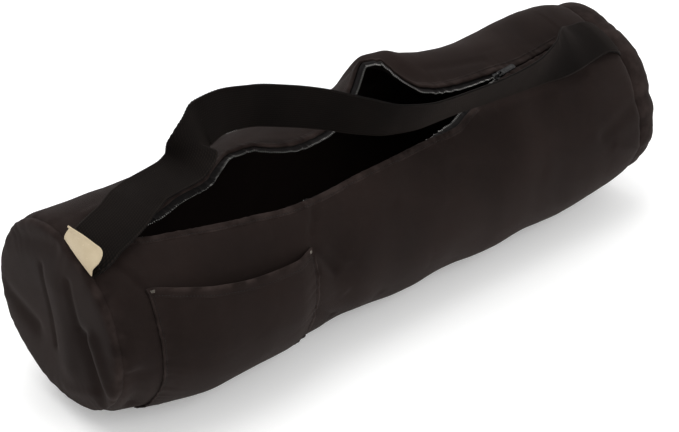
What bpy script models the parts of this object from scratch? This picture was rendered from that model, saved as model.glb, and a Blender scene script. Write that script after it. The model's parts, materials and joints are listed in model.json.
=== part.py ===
"""A long round shoulder bag of black canvas, lying on its side with its zip mouth part open.

Metres, +Z up. The bag lies along X, its front faces -Y and it rests on the plane Z = 0.
Places on the bag are given by a share of its length, 0 at the left end and 1 at the right,
and by an angle round it in degrees: 0 at the front, 90 on top, 180 at the back.
"""

import math
from collections import namedtuple

import bmesh
import bpy
from mathutils import Matrix, Vector

# Driving sizes
BODY_LENGTH = 0.680  # between the two end seams
BODY_RADIUS = 0.104  # of the round section, to the outside of the cloth
FLOOR_FLAT = 0.005  # how far the rounded underside is pressed flat where it rests
CLOTH = 0.0020  # canvas wall
LEFT_BULGE = 0.006  # how far the left end panel swells outwards
RIGHT_BULGE = 0.036  # the same at the right end
RIGHT_TILT = 0.15  # how much more of that swell the right end has above its middle than below
CAP_GAP = 0.0009  # between the rim of each end panel and the round side
SEAM_GAP = 0.0005  # clearance between other sewn pieces

POCKET_CLOTH = 0.0016
POCKET_CLEAR = 0.0011  # between the pocket's sewn edges and the bag
POCKET_LEFT = 0.038  # from the left end seam to the pocket's left seam
POCKET_WIDTH = 0.177
POCKET_SWELL = 0.012  # how far the pocket's mouth stands off the bag
POCKET_FOOT_ANGLE = -62.0  # where the pocket's lower seam runs

ZIP_START = 0.042  # from the left end seam to the zip's left end
ZIP_INSET = 0.048  # from the zip's right end to the right end seam
ZIP_TACK = 0.003  # cloth past the tape at both ends of the zip
SLIDER_SHARE = 0.7566  # of the way from the left end seam to the right one, where the slider is
TAPE_SHOW = 0.0065  # width of zip tape past the cloth's edge
TAPE_HOLD = 0.0045  # width of zip tape sewn under the cloth
TAPE_CLOTH = 0.0009
TAPE_CLEAR = 0.0016  # between the tape and the cloth that it is sewn under
TEETH_WIDTH = 0.0020
TEETH_HEIGHT = 0.0015
TEETH_LIFT = 0.0005  # clearance between the teeth and their tape
TEETH_GAP = 0.0004  # between the two rows of teeth where the zip is closed

SLIDER_LENGTH = 0.0100
SLIDER_WIDTH = 0.0088
SLIDER_PLATE = 0.0013
SLIDER_POST = 0.0008  # width of the post that parts the two rows of teeth
POST_LENGTH = 0.0012
SLIDER_CLEAR = 0.0005  # clearance between the slider and what it runs on
BRIDGE_LENGTH = 0.0072
BRIDGE_WIDTH = 0.0016
BRIDGE_THICK = 0.0011
PULL_LENGTH = 0.0260
PULL_WIDTH = 0.0062
PULL_THICK = 0.0013
PULL_RIM = 0.0013  # metal left round the pull's slot
PULL_CLEAR = 0.0004  # clearance between the pull and the slider

STRAP_WIDTH = 0.048
STRAP_THICK = 0.0024
STRAP_ANGLE = 66.0  # where the strap is sewn in, round the bag
STRAP_CLEAR = 0.0016
SEWN_LENGTH = 0.009  # of the strap, lying along the bag at each sewn end
SEWN_RISE = 0.0015  # of the strap off the bag by the end of that length

LABEL_LENGTH = 0.045
LABEL_WIDTH = 0.021
LABEL_THICK = 0.0010
LABEL_CORNER = 0.009
LABEL_CORNER_ANGLE = 72.0  # degrees of a circle that the label's round corner takes

STATIONS = 34  # even steps along the bag
STATION_CLEAR = 0.35  # of an even step, within which it gives way to a station of the cloth's own
END_STATION = 0.012  # share of the length from each end seam to the station beside it
SAME_PLACE = 1e-9  # shares closer than this are one place
SAME_ANGLE = 1e-6  # degrees closer than this are one angle
CLOSE_FROM = 0.488  # shares between which those steps are shorter, and the shorter step
CLOSE_TO = 0.624
CLOSE_STEP = 0.0136
RING = 32  # steps round the bag
RING_CROWDING = 0.35  # how much shorter those steps are at the mouth's far edge
CAP_RINGS = 7
CAP_SLOPE = 84.0  # degrees round the end panel's shoulder to its innermost ring of points
CAP_CROWDING = 1.3  # how much closer those rings are at the shoulder
POCKET_ROWS = 10
GAPE_KEPT = 0.15  # of the way down the pocket, over which its mouth keeps its full gape
EDGE_STEPS = 0.1  # of the steps round the bag, over which the mouth's edge gives its slope
STRAP_STATIONS = 56
STRAP_COLUMNS = 4
STRAP_SLOPE = 0.006  # shares of half the bag's length, each way, that give the strap its slope
STRAP_SAMPLES = 800  # short steps that measure the strap's length
LABEL_ROWS = 10

# Distance from the bag's axis to the cloth in four directions, as shares of BODY_RADIUS
Section = namedtuple("Section", "share front top back under")
SECTIONS = [
    Section(0.000, 0.945, 0.980, 0.965, 0.770),
    Section(0.020, 0.985, 1.000, 0.985, 0.845),
    Section(0.070, 1.000, 1.000, 1.000, 0.940),
    Section(0.150, 1.000, 1.000, 1.000, 1.000),
    Section(0.550, 1.000, 1.000, 1.000, 1.000),
    Section(0.750, 1.010, 1.020, 1.010, 1.000),
    Section(0.880, 1.010, 1.050, 1.030, 0.990),
    Section(0.950, 1.000, 1.050, 1.030, 0.930),
    Section(0.985, 0.980, 1.030, 1.010, 0.880),
    Section(1.000, 0.950, 1.000, 0.980, 0.840),
]

# The zip's mouth: the angle of each edge in degrees, how far the back edge stands up and how
# far the cloth behind it swells, as shares of BODY_RADIUS, and how far each tape turns inwards
Mouth = namedtuple("Mouth", "share near far lift swell near_turn far_turn")
MOUTH = [
    Mouth(0.050, 66.4, 70.6, 0.00, 0.00, 0.0, 0.0),
    Mouth(0.093, 61.0, 72.0, 0.00, 0.00, 30.0, 0.0),
    Mouth(0.126, 58.5, 72.5, 0.00, 0.00, 70.0, 0.0),
    Mouth(0.169, 55.0, 76.5, 0.00, 0.00, 75.0, 0.0),
    Mouth(0.221, 51.5, 79.5, 0.00, 0.00, 75.0, 0.0),
    Mouth(0.254, 49.8, 87.0, 0.01, 0.00, 75.0, 0.0),
    Mouth(0.288, 47.5, 94.0, 0.02, 0.00, 75.0, 0.0),
    Mouth(0.318, 46.6, 93.0, 0.02, 0.00, 75.0, 0.0),
    Mouth(0.351, 46.5, 85.0, 0.01, 0.00, 75.0, 0.0),
    Mouth(0.390, 47.3, 81.0, 0.00, 0.00, 75.0, 0.0),
    Mouth(0.430, 48.5, 82.0, 0.00, 0.00, 75.0, 0.0),
    Mouth(0.482, 49.3, 87.5, 0.05, 0.00, 75.0, 30.0),
    Mouth(0.515, 50.0, 93.0, 0.21, 0.00, 75.0, 50.0),
    Mouth(0.546, 50.8, 96.0, 0.38, 0.04, 75.0, 60.0),
    Mouth(0.577, 51.2, 95.0, 0.35, 0.17, 60.0, 50.0),
    Mouth(0.605, 51.0, 90.0, 0.16, 0.27, 30.0, 30.0),
    Mouth(0.630, 51.5, 83.0, 0.04, 0.27, 10.0, 10.0),
    Mouth(0.656, 55.0, 78.5, 0.01, 0.21, 0.0, 0.0),
    Mouth(0.704, 61.0, 75.0, 0.00, 0.14, 0.0, 0.0),
    Mouth(0.757, 66.2, 74.0, 0.00, 0.11, 0.0, 0.0),
    Mouth(0.790, 68.6, 72.7, 0.00, 0.10, 0.0, 0.0),
    Mouth(0.935, 71.6, 75.7, 0.00, 0.10, 0.0, 0.0),
]
LIFT_FROM = 140.0  # the angle at which the cloth behind the mouth starts to stand up
LIFT_HOOK = 3.2  # how much of the rise is close to the edge

# Folds and dents in the cloth: where each runs, how far it stands out (or in, if negative) as a
# share of BODY_RADIUS, and its half width as a share of BODY_RADIUS
Fold = namedtuple("Fold", "share_a angle_a share_b angle_b height width")
FOLDS = [
    Fold(0.018, -6.0, 0.033, -44.0, -0.060, 0.09),
    Fold(0.232, 96.0, 0.262, 114.0, 0.050, 0.11),
    Fold(0.268, 98.0, 0.300, 116.0, -0.035, 0.11),
    Fold(0.290, 128.0, 0.400, 112.0, 0.025, 0.14),
    Fold(0.346, 10.0, 0.390, -42.0, -0.030, 0.15),
    Fold(0.395, 12.0, 0.420, -30.0, 0.022, 0.18),
    Fold(0.800, 42.0, 0.970, 30.0, -0.045, 0.24),
    Fold(0.830, 46.0, 0.975, 38.0, 0.025, 0.13),
    Fold(0.700, 118.0, 0.860, 96.0, -0.020, 0.20),
]

# Creases in the left end panel: where each runs, as shares of BODY_RADIUS towards the back and
# upwards from the panel's middle, and how far it stands out and its half width as shares of it
Crease = namedtuple("Crease", "back_a up_a back_b up_b height width")
CREASES = [
    Crease(-0.62, 0.18, -0.88, -0.42, 0.060, 0.08),
    Crease(-0.45, 0.10, -0.76, -0.52, -0.055, 0.10),
    Crease(0.72, 0.62, -0.10, 0.90, -0.050, 0.09),
    Crease(0.80, 0.00, 0.35, -0.15, -0.040, 0.10),
    Crease(-0.10, 0.45, -0.20, -0.30, 0.030, 0.16),
    Crease(0.10, -0.86, -0.55, -0.70, -0.090, 0.13),
]

# The pocket's mouth: how far along the pocket, the angle of its edge, and how far it gapes as a
# share of POCKET_SWELL
PocketEdge = namedtuple("PocketEdge", "share angle gape")
POCKET_EDGE = [
    PocketEdge(0.00, 37.0, 0.00),
    PocketEdge(0.15, 32.0, 0.45),
    PocketEdge(0.35, 26.0, 0.95),
    PocketEdge(0.60, 22.0, 1.00),
    PocketEdge(0.85, 21.0, 0.55),
    PocketEdge(1.00, 23.0, 0.00),
]

# The strap's middle line between its two sewn ends: shares of half the bag's length along X, of
# BODY_RADIUS for its depth and its height over the bag's axis, how it leans in degrees (90 stands
# on edge, more lies back) and how much it is cupped to the bag's roundness
StrapPlace = namedtuple("StrapPlace", "along depth height lean cup")
STRAP_ROUTE = [
    StrapPlace(-0.930, -0.37, 0.985, 160.0, 1.0),
    StrapPlace(-0.847, -0.28, 1.030, 164.0, 0.7),
    StrapPlace(-0.780, -0.16, 1.055, 169.0, 0.4),
    StrapPlace(-0.720, -0.07, 1.055, 174.0, 0.2),
    StrapPlace(-0.620, -0.03, 1.065, 173.0, 0.0),
    StrapPlace(-0.572, -0.01, 1.095, 164.0, 0.0),
    StrapPlace(-0.540, 0.02, 1.190, 131.0, 0.0),
    StrapPlace(-0.522, 0.06, 1.275, 114.0, 0.0),
    StrapPlace(-0.475, 0.14, 1.355, 104.0, 0.0),
    StrapPlace(-0.410, 0.15, 1.385, 92.0, 0.0),
    StrapPlace(-0.330, 0.09, 1.375, 82.0, 0.0),
    StrapPlace(-0.240, -0.06, 1.335, 81.0, 0.0),
    StrapPlace(-0.150, -0.23, 1.270, 78.0, 0.0),
    StrapPlace(-0.060, -0.45, 1.185, 70.0, 0.0),
    StrapPlace(0.025, -0.61, 1.115, 60.0, 0.0),
    StrapPlace(0.140, -0.70, 1.085, 55.0, 0.0),
    StrapPlace(0.270, -0.72, 1.085, 53.0, 0.0),
    StrapPlace(0.390, -0.74, 1.085, 55.0, 0.0),
    StrapPlace(0.520, -0.73, 1.085, 62.0, 0.0),
    StrapPlace(0.645, -0.67, 1.095, 82.0, 0.0),
    StrapPlace(0.750, -0.58, 1.090, 120.0, 0.1),
    StrapPlace(0.855, -0.46, 1.045, 150.0, 0.7),
    StrapPlace(0.915, -0.43, 1.035, 156.0, 1.0),
]

AXIS_HEIGHT = BODY_RADIUS - FLOOR_FLAT
ZIP_END = BODY_LENGTH - ZIP_INSET
SLIDER_PLACE = BODY_LENGTH * SLIDER_SHARE
SLIDER_REACH = SLIDER_LENGTH * 0.6  # each way along the zip, where the cloth has its own stations
HALF_LENGTH = BODY_LENGTH / 2
TAPE_DEPTH = CLOTH + TAPE_CLEAR  # from the outside of the cloth down to the zip tape
TEETH_TOP = TAPE_DEPTH - TEETH_LIFT - TEETH_HEIGHT

BLACK_CANVAS = (0.012, 0.011, 0.010)
BLACK_WEBBING = (0.009, 0.008, 0.008)
NATURAL_CANVAS = (0.66, 0.58, 0.44)
BLACK_METAL = (0.060, 0.060, 0.062)
BRIGHT_METAL = (0.62, 0.61, 0.59)


# Reading the tables
def read(rows, column, place, key="share"):
    """The value of a column at a place between rows, on a smooth curve through the rows."""
    keys = [getattr(row, key) for row in rows]
    values = [getattr(row, column) for row in rows]
    if place <= keys[0]:
        return values[0]
    if place >= keys[-1]:
        return values[-1]
    i = max(k for k in range(len(keys) - 1) if keys[k] <= place)
    span = keys[i + 1] - keys[i]

    def slope(k):
        if k in (0, len(keys) - 1):
            return 0.0
        before = (values[k] - values[k - 1]) / (keys[k] - keys[k - 1])
        after = (values[k + 1] - values[k]) / (keys[k + 1] - keys[k])
        return 0.0 if before * after <= 0 else 2 * before * after / (before + after)

    t = (place - keys[i]) / span
    ends = values[i] * (1 + 2 * t) * (1 - t) ** 2 + values[i + 1] * t * t * (3 - 2 * t)
    return ends + span * (slope(i) * t * (1 - t) ** 2 - slope(i + 1) * t * t * (1 - t))


def ease(t):
    """0 below 0, 1 above 1, and a smooth step between."""
    t = min(1.0, max(0.0, t))
    return t * t * (3 - 2 * t)


def share_of(distance):
    """A distance from the left end seam as a share of the bag's length."""
    return distance / BODY_LENGTH


def mouth_open(share):
    """Whether the cloth is cut at this place, for the zip."""
    return share_of(ZIP_START) < share < share_of(ZIP_END)


def edge_angle(share, side):
    """The angle of the mouth's near or far edge, or of the line past the zip's ends."""
    if mouth_open(share):
        return read(MOUTH, side, share)
    return (read(MOUTH, "near", share) + read(MOUTH, "far", share)) / 2


def turn_between(angle_a, angle_b):
    """The shortest turn from one angle to the other, in degrees."""
    return (angle_b - angle_a + 180.0) % 360.0 - 180.0


def fold_height(share, angle):
    """How far all the folds together move the cloth at this place."""
    total = 0.0
    for fold in FOLDS:
        around = math.radians(turn_between(fold.angle_a, fold.angle_b)) * BODY_RADIUS
        run = Vector(((fold.share_b - fold.share_a) * BODY_LENGTH, around))
        around = math.radians(turn_between(fold.angle_a, angle)) * BODY_RADIUS
        here = Vector(((share - fold.share_a) * BODY_LENGTH, around))
        t = min(1.0, max(0.0, here.dot(run) / run.length_squared))
        away = (here - run * t).length / (fold.width * BODY_RADIUS)
        total += fold.height * BODY_RADIUS * math.exp(-away * away)
    return total


def lift_height(share, angle):
    """How far the cloth behind the mouth stands up towards its edge, and swells behind it."""
    far = edge_angle(share, "far")
    behind = angle % 360.0
    if not far - SAME_ANGLE <= behind < LIFT_FROM:
        return 0.0
    t = (LIFT_FROM - behind) / (LIFT_FROM - far)
    lift = read(MOUTH, "lift", share) * t**LIFT_HOOK
    swell = read(MOUTH, "swell", share) * math.sin(math.pi * t) ** 2
    return (lift + swell) * BODY_RADIUS


def body_point(share, angle, out=0.0):
    """A point on the outside of the bag, or this far out from it."""
    turn = math.radians(angle)
    across = "front" if math.cos(turn) >= 0 else "back"
    upright = "top" if math.sin(turn) >= 0 else "under"
    stand = fold_height(share, angle) + lift_height(share, angle) + out
    y = -math.cos(turn) * (read(SECTIONS, across, share) * BODY_RADIUS + stand)
    z = math.sin(turn) * (read(SECTIONS, upright, share) * BODY_RADIUS + stand)
    return Vector((share * BODY_LENGTH - HALF_LENGTH, y, max(z + AXIS_HEIGHT, 0.0)))


# Making objects
def material(name, colour, roughness, metallic=0.0):
    made = bpy.data.materials.new(name)
    made.use_nodes = True
    shader = made.node_tree.nodes["Principled BSDF"]
    shader.inputs["Base Color"].default_value = (*colour, 1.0)
    shader.inputs["Roughness"].default_value = roughness
    shader.inputs["Metallic"].default_value = metallic
    return made


def add_object(name, maker, surface, parent):
    """One named object from a bmesh, with its material, under its parent's frame."""
    mesh = bpy.data.meshes.new(name)
    maker.normal_update()
    maker.to_mesh(mesh)
    maker.free()
    mesh.materials.append(surface)
    mesh.shade_smooth()
    mesh.set_sharp_from_angle(angle=math.radians(40))
    made = bpy.data.objects.new(name, mesh)
    bpy.context.scene.collection.objects.link(made)
    made.parent = parent
    return made


def thicken(thing, thickness, offset=-1.0):
    """Gives a sheet of cloth its wall, inwards from its outside unless told otherwise."""
    wall = thing.modifiers.new("wall", "SOLIDIFY")
    wall.thickness = thickness
    wall.offset = offset
    wall.use_even_offset = False
    return thing


def grid_faces(maker, rows, flip=False):
    """Joins rows of vertices, each as long as the next, into quads."""
    for low, high in zip(rows, rows[1:]):
        for k in range(len(low) - 1):
            corners = (low[k], high[k], high[k + 1], low[k + 1])
            maker.faces.new(corners[::-1] if flip else corners)


def bar(maker, sections):
    """A closed bar through sections of the same number of points."""
    loops = [[maker.verts.new(p) for p in section] for section in sections]
    count = len(loops[0])
    for low, high in zip(loops, loops[1:]):
        for k in range(count):
            maker.faces.new((low[k], high[k], high[(k + 1) % count], low[(k + 1) % count]))
    maker.faces.new(loops[0])
    maker.faces.new(loops[-1][::-1])
    bmesh.ops.recalc_face_normals(maker, faces=maker.faces)


# The bag's cloth
def station_shares():
    """Shares of the length at which the cloth has a ring of points: even steps, with places of
    their own at the ends, at the pocket's seams, at both ends of the zip and round its slider, and
    closer ones where the mouth's far edge stands up."""
    start, end = share_of(ZIP_START), share_of(ZIP_END)
    tack, reach = share_of(ZIP_TACK), share_of(SLIDER_REACH)
    slider = share_of(SLIDER_PLACE)
    own = [END_STATION, start, start + tack, end - tack, end, 1 - END_STATION]
    own += [share_of(POCKET_LEFT), share_of(POCKET_LEFT + POCKET_WIDTH)]
    own += [slider - reach, slider, slider + reach]
    own += [CLOSE_FROM + CLOSE_STEP * k for k in range(round((CLOSE_TO - CLOSE_FROM) / CLOSE_STEP) + 1)]
    even = [k / STATIONS for k in range(STATIONS + 1)]
    apart = STATION_CLEAR / STATIONS
    kept = [s for s in even if all(abs(s - o) > apart for o in own) or s in (0, 1)]
    return sorted(kept + own)


def zip_shares():
    """The stations between the zip's two tacked ends."""
    low = share_of(ZIP_START + ZIP_TACK) - SAME_PLACE
    high = share_of(ZIP_END - ZIP_TACK) + SAME_PLACE
    return [s for s in station_shares() if low <= s <= high]


def ring_angle(share, k):
    """The angle of the k-th point round the bag, from the mouth's near edge down the front, under
    the bag and up the back to the far edge."""
    near, far = edge_angle(share, "near"), edge_angle(share, "far")
    t = k / RING
    return near - (360.0 - far + near) * (t + RING_CROWDING * t * (1 - t))


def build_body(surface, parent):
    maker = bmesh.new()
    rows = []
    for share in station_shares():
        row = [maker.verts.new(body_point(share, ring_angle(share, k))) for k in range(RING)]
        last = body_point(share, ring_angle(share, RING))
        row.append(maker.verts.new(last) if mouth_open(share) else row[0])
        rows.append(row)
    grid_faces(maker, rows, flip=True)
    return thicken(add_object("body_panel", maker, surface, parent), CLOTH)


def crease_height(back, up):
    """How far all the creases together move the left end panel at this place."""
    total = 0.0
    here = Vector((back, up))
    for crease in CREASES:
        start = Vector((crease.back_a, crease.up_a))
        run = Vector((crease.back_b, crease.up_b)) - start
        t = min(1.0, max(0.0, (here - start).dot(run) / run.length_squared))
        away = (here - start - run * t).length / crease.width
        total += crease.height * math.exp(-away * away)
    return total


def build_cap(name, way, bulge, tilt, surface, parent):
    """A round end panel with soft shoulders; way is -1 at the left end and 1 at the right."""
    maker = bmesh.new()
    share = 0.0 if way < 0 else 1.0
    axis = Vector((way * (HALF_LENGTH + CAP_GAP), 0.0, AXIS_HEIGHT))

    def panel_point(rim, spread, rise):
        point = axis.lerp(rim, spread)
        middle = (point - axis) / BODY_RADIUS
        swell = bulge * (1 + tilt * middle.z)
        creased = crease_height(middle.y, middle.z) * BODY_RADIUS if way < 0 else 0.0
        point.x = axis.x + way * (swell + creased * rise) * rise
        return point

    rings = []
    for step in range(CAP_RINGS):
        slope = math.radians(CAP_SLOPE) * (step / (CAP_RINGS - 1)) ** CAP_CROWDING
        spread, rise = math.sqrt(math.cos(slope)), math.sqrt(math.sin(slope))
        ring = []
        for k in range(RING):
            rim = body_point(share, ring_angle(share, k))
            ring.append(maker.verts.new(panel_point(rim, spread, rise)))
        rings.append(ring + ring[:1])
    grid_faces(maker, rings, flip=way > 0)
    middle = maker.verts.new(panel_point(axis, 0.0, 1.0))
    for k in range(RING):
        corners = (rings[-1][k], middle, rings[-1][k + 1])
        maker.faces.new(corners[::-1] if way > 0 else corners)
    return thicken(add_object(name, maker, surface, parent), CLOTH)


def pocket_point(share, down):
    """A point on the pocket's outside, down from its mouth (0) to its foot (1)."""
    along = (share - share_of(POCKET_LEFT)) / share_of(POCKET_WIDTH)
    top = read(POCKET_EDGE, "angle", along)
    angle = top + (POCKET_FOOT_ANGLE - top) * down
    gape = read(POCKET_EDGE, "gape", along) * (1 - ease((down - GAPE_KEPT) / (1 - GAPE_KEPT)))
    return body_point(share, angle, POCKET_SWELL * gape + POCKET_CLEAR + POCKET_CLOTH)


def build_pocket(surface, parent):
    maker = bmesh.new()
    rows = []
    low = share_of(POCKET_LEFT) - SAME_PLACE
    high = share_of(POCKET_LEFT + POCKET_WIDTH) + SAME_PLACE
    for share in [s for s in station_shares() if low <= s <= high]:
        places = [pocket_point(share, j / POCKET_ROWS) for j in range(POCKET_ROWS + 1)]
        rows.append([maker.verts.new(place) for place in places])
    grid_faces(maker, rows, flip=True)
    return thicken(add_object("pocket_panel", maker, surface, parent), POCKET_CLOTH)


# The zip
def mouth_frame(share, side, steps=1.0):
    """The mouth's edge on the outside of the cloth, the way past it and the way out of the bag.
    The way past it is measured over this many of the cloth's steps round the bag."""
    way, at_edge = (1.0, 0) if side == "near" else (-1.0, RING)
    edge = body_point(share, ring_angle(share, at_edge))
    across = edge - body_point(share, ring_angle(share, at_edge + way * steps))
    ahead, behind = share + 0.5 / STATIONS, share - 0.5 / STATIONS
    along = body_point(ahead, read(MOUTH, side, ahead))
    along -= body_point(behind, read(MOUTH, side, behind))
    along.normalize()
    across = (across - along * across.dot(along)).normalized()
    out = along.cross(across) * way
    return edge, across, out


def tape_root(share, side):
    """Where the tape comes out from under the cloth's edge."""
    edge, _, out = mouth_frame(share, side, EDGE_STEPS)
    return edge - out * TAPE_DEPTH


def tape_show(share):
    """How far the tape shows past the cloth: all of it where the mouth is open, and up to the
    middle where it is closed."""
    apart = (tape_root(share, "near") - tape_root(share, "far")).length
    return min(TAPE_SHOW, (apart - TEETH_GAP) / 2)


def tape_point(share, side, reach, depth):
    """A point on the zip's tape: reach past the cloth's edge (negative under the cloth) and depth
    below the cloth's outside."""
    if reach < 0:
        _, past, face = mouth_frame(share, side)
    else:
        turn = math.radians(read(MOUTH, side + "_turn", share)) if reach > 0 else 0.0
        _, across, out = mouth_frame(share, side, EDGE_STEPS)
        past = across * math.cos(turn) - out * math.sin(turn)
        face = out * math.cos(turn) + across * math.sin(turn)
    return tape_root(share, side) + past * reach + face * (TAPE_DEPTH - depth)


def build_tape(side, surface, parent):
    maker = bmesh.new()
    sections = []
    for share in zip_shares():
        reaches = (-TAPE_HOLD, 0.0, tape_show(share))
        top = [tape_point(share, side, reach, TAPE_DEPTH) for reach in reaches]
        low = [tape_point(share, side, reach, TAPE_DEPTH + TAPE_CLOTH) for reach in reaches]
        sections.append(top + low[::-1])
    bar(maker, sections)
    return add_object("zip_tape_" + side, maker, surface, parent)


def build_teeth(side, surface, parent):
    maker = bmesh.new()
    sections = []
    for share in zip_shares():
        show = tape_show(share)
        low = TEETH_TOP + TEETH_HEIGHT
        corners = (
            (show - TEETH_WIDTH, low),
            (show, low),
            (show, TEETH_TOP),
            (show - TEETH_WIDTH, TEETH_TOP),
        )
        sections.append([tape_point(share, side, reach, depth) for reach, depth in corners])
    bar(maker, sections)
    return add_object("zip_teeth_" + side, maker, surface, parent)


def slider_frame():
    """The slider's own axes: X along the zip, Y towards the far edge and Z out of the bag."""
    share = share_of(SLIDER_PLACE)
    reach = share_of(SLIDER_LENGTH)
    near, far = (body_point(share, edge_angle(share, side)) for side in ("near", "far"))
    middle = [
        (body_point(s, edge_angle(s, "near")) + body_point(s, edge_angle(s, "far"))) / 2
        for s in (share - reach, share + reach)
    ]
    along = (middle[1] - middle[0]).normalized()
    across = far - near
    across = (across - along * across.dot(along)).normalized()
    matrix = Matrix((along, across, along.cross(across))).transposed().to_4x4()
    matrix.translation = (near + far) / 2
    show = tape_show(share)
    tapes = [tape_point(share, side, show, TAPE_DEPTH) for side in ("near", "far")]
    aside = (matrix.inverted() @ ((tapes[0] + tapes[1]) / 2)).y
    matrix.translation += across * aside
    return matrix


def slider_heights(frame):
    """Heights in the slider's axes: the underside of its top plate and the upper side of its lower
    plate, clear of the teeth and tapes between them, then the pull's axis and the underside of
    the bridge over it."""
    share, reach = share_of(SLIDER_PLACE), share_of(SLIDER_REACH)
    over, under = [], []
    for place in (share - reach, share, share + reach):
        show = tape_show(place)
        for side in ("near", "far"):
            for past in (show - TEETH_WIDTH, show):
                over.append((frame.inverted() @ tape_point(place, side, past, TEETH_TOP)).z)
            for past in (show - SLIDER_WIDTH / 2, show):
                low = tape_point(place, side, past, TAPE_DEPTH + TAPE_CLOTH)
                under.append((frame.inverted() @ low).z)
    top_plate = max(over) + SLIDER_CLEAR
    low_plate = min(under) - SLIDER_CLEAR
    pull_swing = PULL_THICK * math.sqrt(0.5) + PULL_CLEAR
    pull_axis = top_plate + SLIDER_PLATE + pull_swing
    return top_plate, low_plate, pull_axis, pull_axis + pull_swing


def add_box(maker, low, high):
    """Adds a box between two corners."""
    made = bmesh.ops.create_cube(maker, size=1.0)["verts"]
    for vertex in made:
        share = [c + 0.5 for c in vertex.co]
        vertex.co = Vector([low[i] + (high[i] - low[i]) * share[i] for i in range(3)])
    return made


def joined(name, boxes, surface, parent):
    """One closed piece from boxes that overlap."""
    maker = bmesh.new()
    add_box(maker, *boxes[0])
    piece = add_object(name, maker, surface, parent)
    for k, box in enumerate(boxes[1:]):
        cutter = bmesh.new()
        add_box(cutter, *box)
        helper = add_object(f"{name}_join_{k}", cutter, surface, parent)
        helper.hide_render = True
        helper.display_type = "WIRE"
        union = piece.modifiers.new("join", "BOOLEAN")
        union.operation = "UNION"
        union.object = helper
    return piece


def build_slider(surface, frame, heights):
    top_plate, low_plate, _, bridge_under = heights
    half, wide = SLIDER_LENGTH / 2, SLIDER_WIDTH / 2
    top, low = top_plate + SLIDER_PLATE, low_plate - SLIDER_PLATE
    into = SLIDER_PLATE / 2
    foot, leg = BRIDGE_LENGTH / 2, BRIDGE_THICK
    bridge_top = bridge_under + BRIDGE_THICK
    narrow, post = BRIDGE_WIDTH / 2, SLIDER_POST / 2
    boxes = [
        ((-half, -wide, top_plate), (half, wide, top)),
        ((-half, -wide, low), (half, wide, low_plate)),
        ((-half, -post, low + into), (POST_LENGTH - half, post, top - into)),
        ((-foot, -narrow, top - into), (leg - foot, narrow, bridge_top)),
        ((foot - leg, -narrow, top - into), (foot, narrow, bridge_top)),
        ((leg / 2 - foot, -narrow, bridge_under), (foot - leg / 2, narrow, bridge_top)),
    ]
    return joined("zip_slider", boxes, surface, frame)


def build_pull(surface, hinge, heights):
    """The pull tab, whose own origin is on its hinge: a plate with a slot that holds the bridge."""
    half, wide, rim = PULL_THICK / 2, PULL_WIDTH / 2, PULL_RIM
    _, _, pull_axis, bridge_under = heights
    reach = math.hypot(BRIDGE_LENGTH / 2, bridge_under + BRIDGE_THICK - pull_axis)
    slot = reach + PULL_CLEAR
    end = PULL_LENGTH - half
    boxes = [
        ((-half, -wide, -half), (half, wide, half)),
        ((0.0, -wide, -half), (slot + rim, rim - wide, half)),
        ((0.0, wide - rim, -half), (slot + rim, wide, half)),
        ((slot, -wide, -half), (end, wide, half)),
    ]
    return joined("zip_pull", boxes, surface, hinge)


# The strap and its label
def strap_route():
    """The rows of the strap's route, with its two sewn ends on the bag added."""
    rows = list(STRAP_ROUTE)
    for inset, rise in ((SEWN_LENGTH, SEWN_RISE), (SEAM_GAP, 0.0)):
        for from_left in (True, False):
            share = share_of(inset if from_left else BODY_LENGTH - inset)
            place = body_point(share, STRAP_ANGLE, STRAP_CLEAR + STRAP_THICK / 2 + rise)
            depth, height = place.y / BODY_RADIUS, (place.z - AXIS_HEIGHT) / BODY_RADIUS
            row = StrapPlace(place.x / HALF_LENGTH, depth, height, STRAP_ANGLE + 90.0, 1.0)
            rows.insert(0 if from_left else len(rows), row)
    return rows


def strap_centre(rows, along):
    depth = read(rows, "depth", along, "along") * BODY_RADIUS
    height = read(rows, "height", along, "along") * BODY_RADIUS + AXIS_HEIGHT
    return Vector((along * HALF_LENGTH, depth, height))


def strap_point(rows, along, across, out):
    """A point in the strap: across its width from the front edge (-1) to the back edge (1), and
    out from its middle."""
    centre = strap_centre(rows, along)
    ahead = strap_centre(rows, along + STRAP_SLOPE)
    behind = strap_centre(rows, along - STRAP_SLOPE)
    run = (ahead - behind).normalized()
    lean = math.radians(read(rows, "lean", along, "along"))
    width = Vector((0.0, -math.cos(lean), math.sin(lean)))
    width = (width - run * width.dot(run)).normalized()
    face = run.cross(width)
    aside = across * STRAP_WIDTH / 2
    cup = read(rows, "cup", along, "along") * aside * aside / (2 * BODY_RADIUS)
    return centre + width * aside + face * (out - cup)


def even_places(rows, count):
    """Places along the strap that lie evenly on its own length."""
    first, last = rows[0].along, rows[-1].along
    fine = [first + (last - first) * k / STRAP_SAMPLES for k in range(STRAP_SAMPLES + 1)]
    lengths = [0.0]
    for low, high in zip(fine, fine[1:]):
        lengths.append(lengths[-1] + (strap_centre(rows, high) - strap_centre(rows, low)).length)
    places = []
    k = 0
    for i in range(count + 1):
        wanted = lengths[-1] * i / count
        while k < STRAP_SAMPLES - 1 and lengths[k + 1] < wanted:
            k += 1
        t = (wanted - lengths[k]) / (lengths[k + 1] - lengths[k])
        places.append(fine[k] + (fine[k + 1] - fine[k]) * min(1.0, t))
    return places


def build_strap(surface, parent):
    maker = bmesh.new()
    rows = strap_route()
    half = STRAP_THICK / 2
    columns = [-1.0 + 2.0 * j / STRAP_COLUMNS for j in range(STRAP_COLUMNS + 1)]
    sections = []
    for along in even_places(rows, STRAP_STATIONS):
        over = [strap_point(rows, along, across, half) for across in columns]
        under = [strap_point(rows, along, across, -half) for across in columns[::-1]]
        sections.append(over + under)
    bar(maker, sections)
    return add_object("strap", maker, surface, parent)


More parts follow.
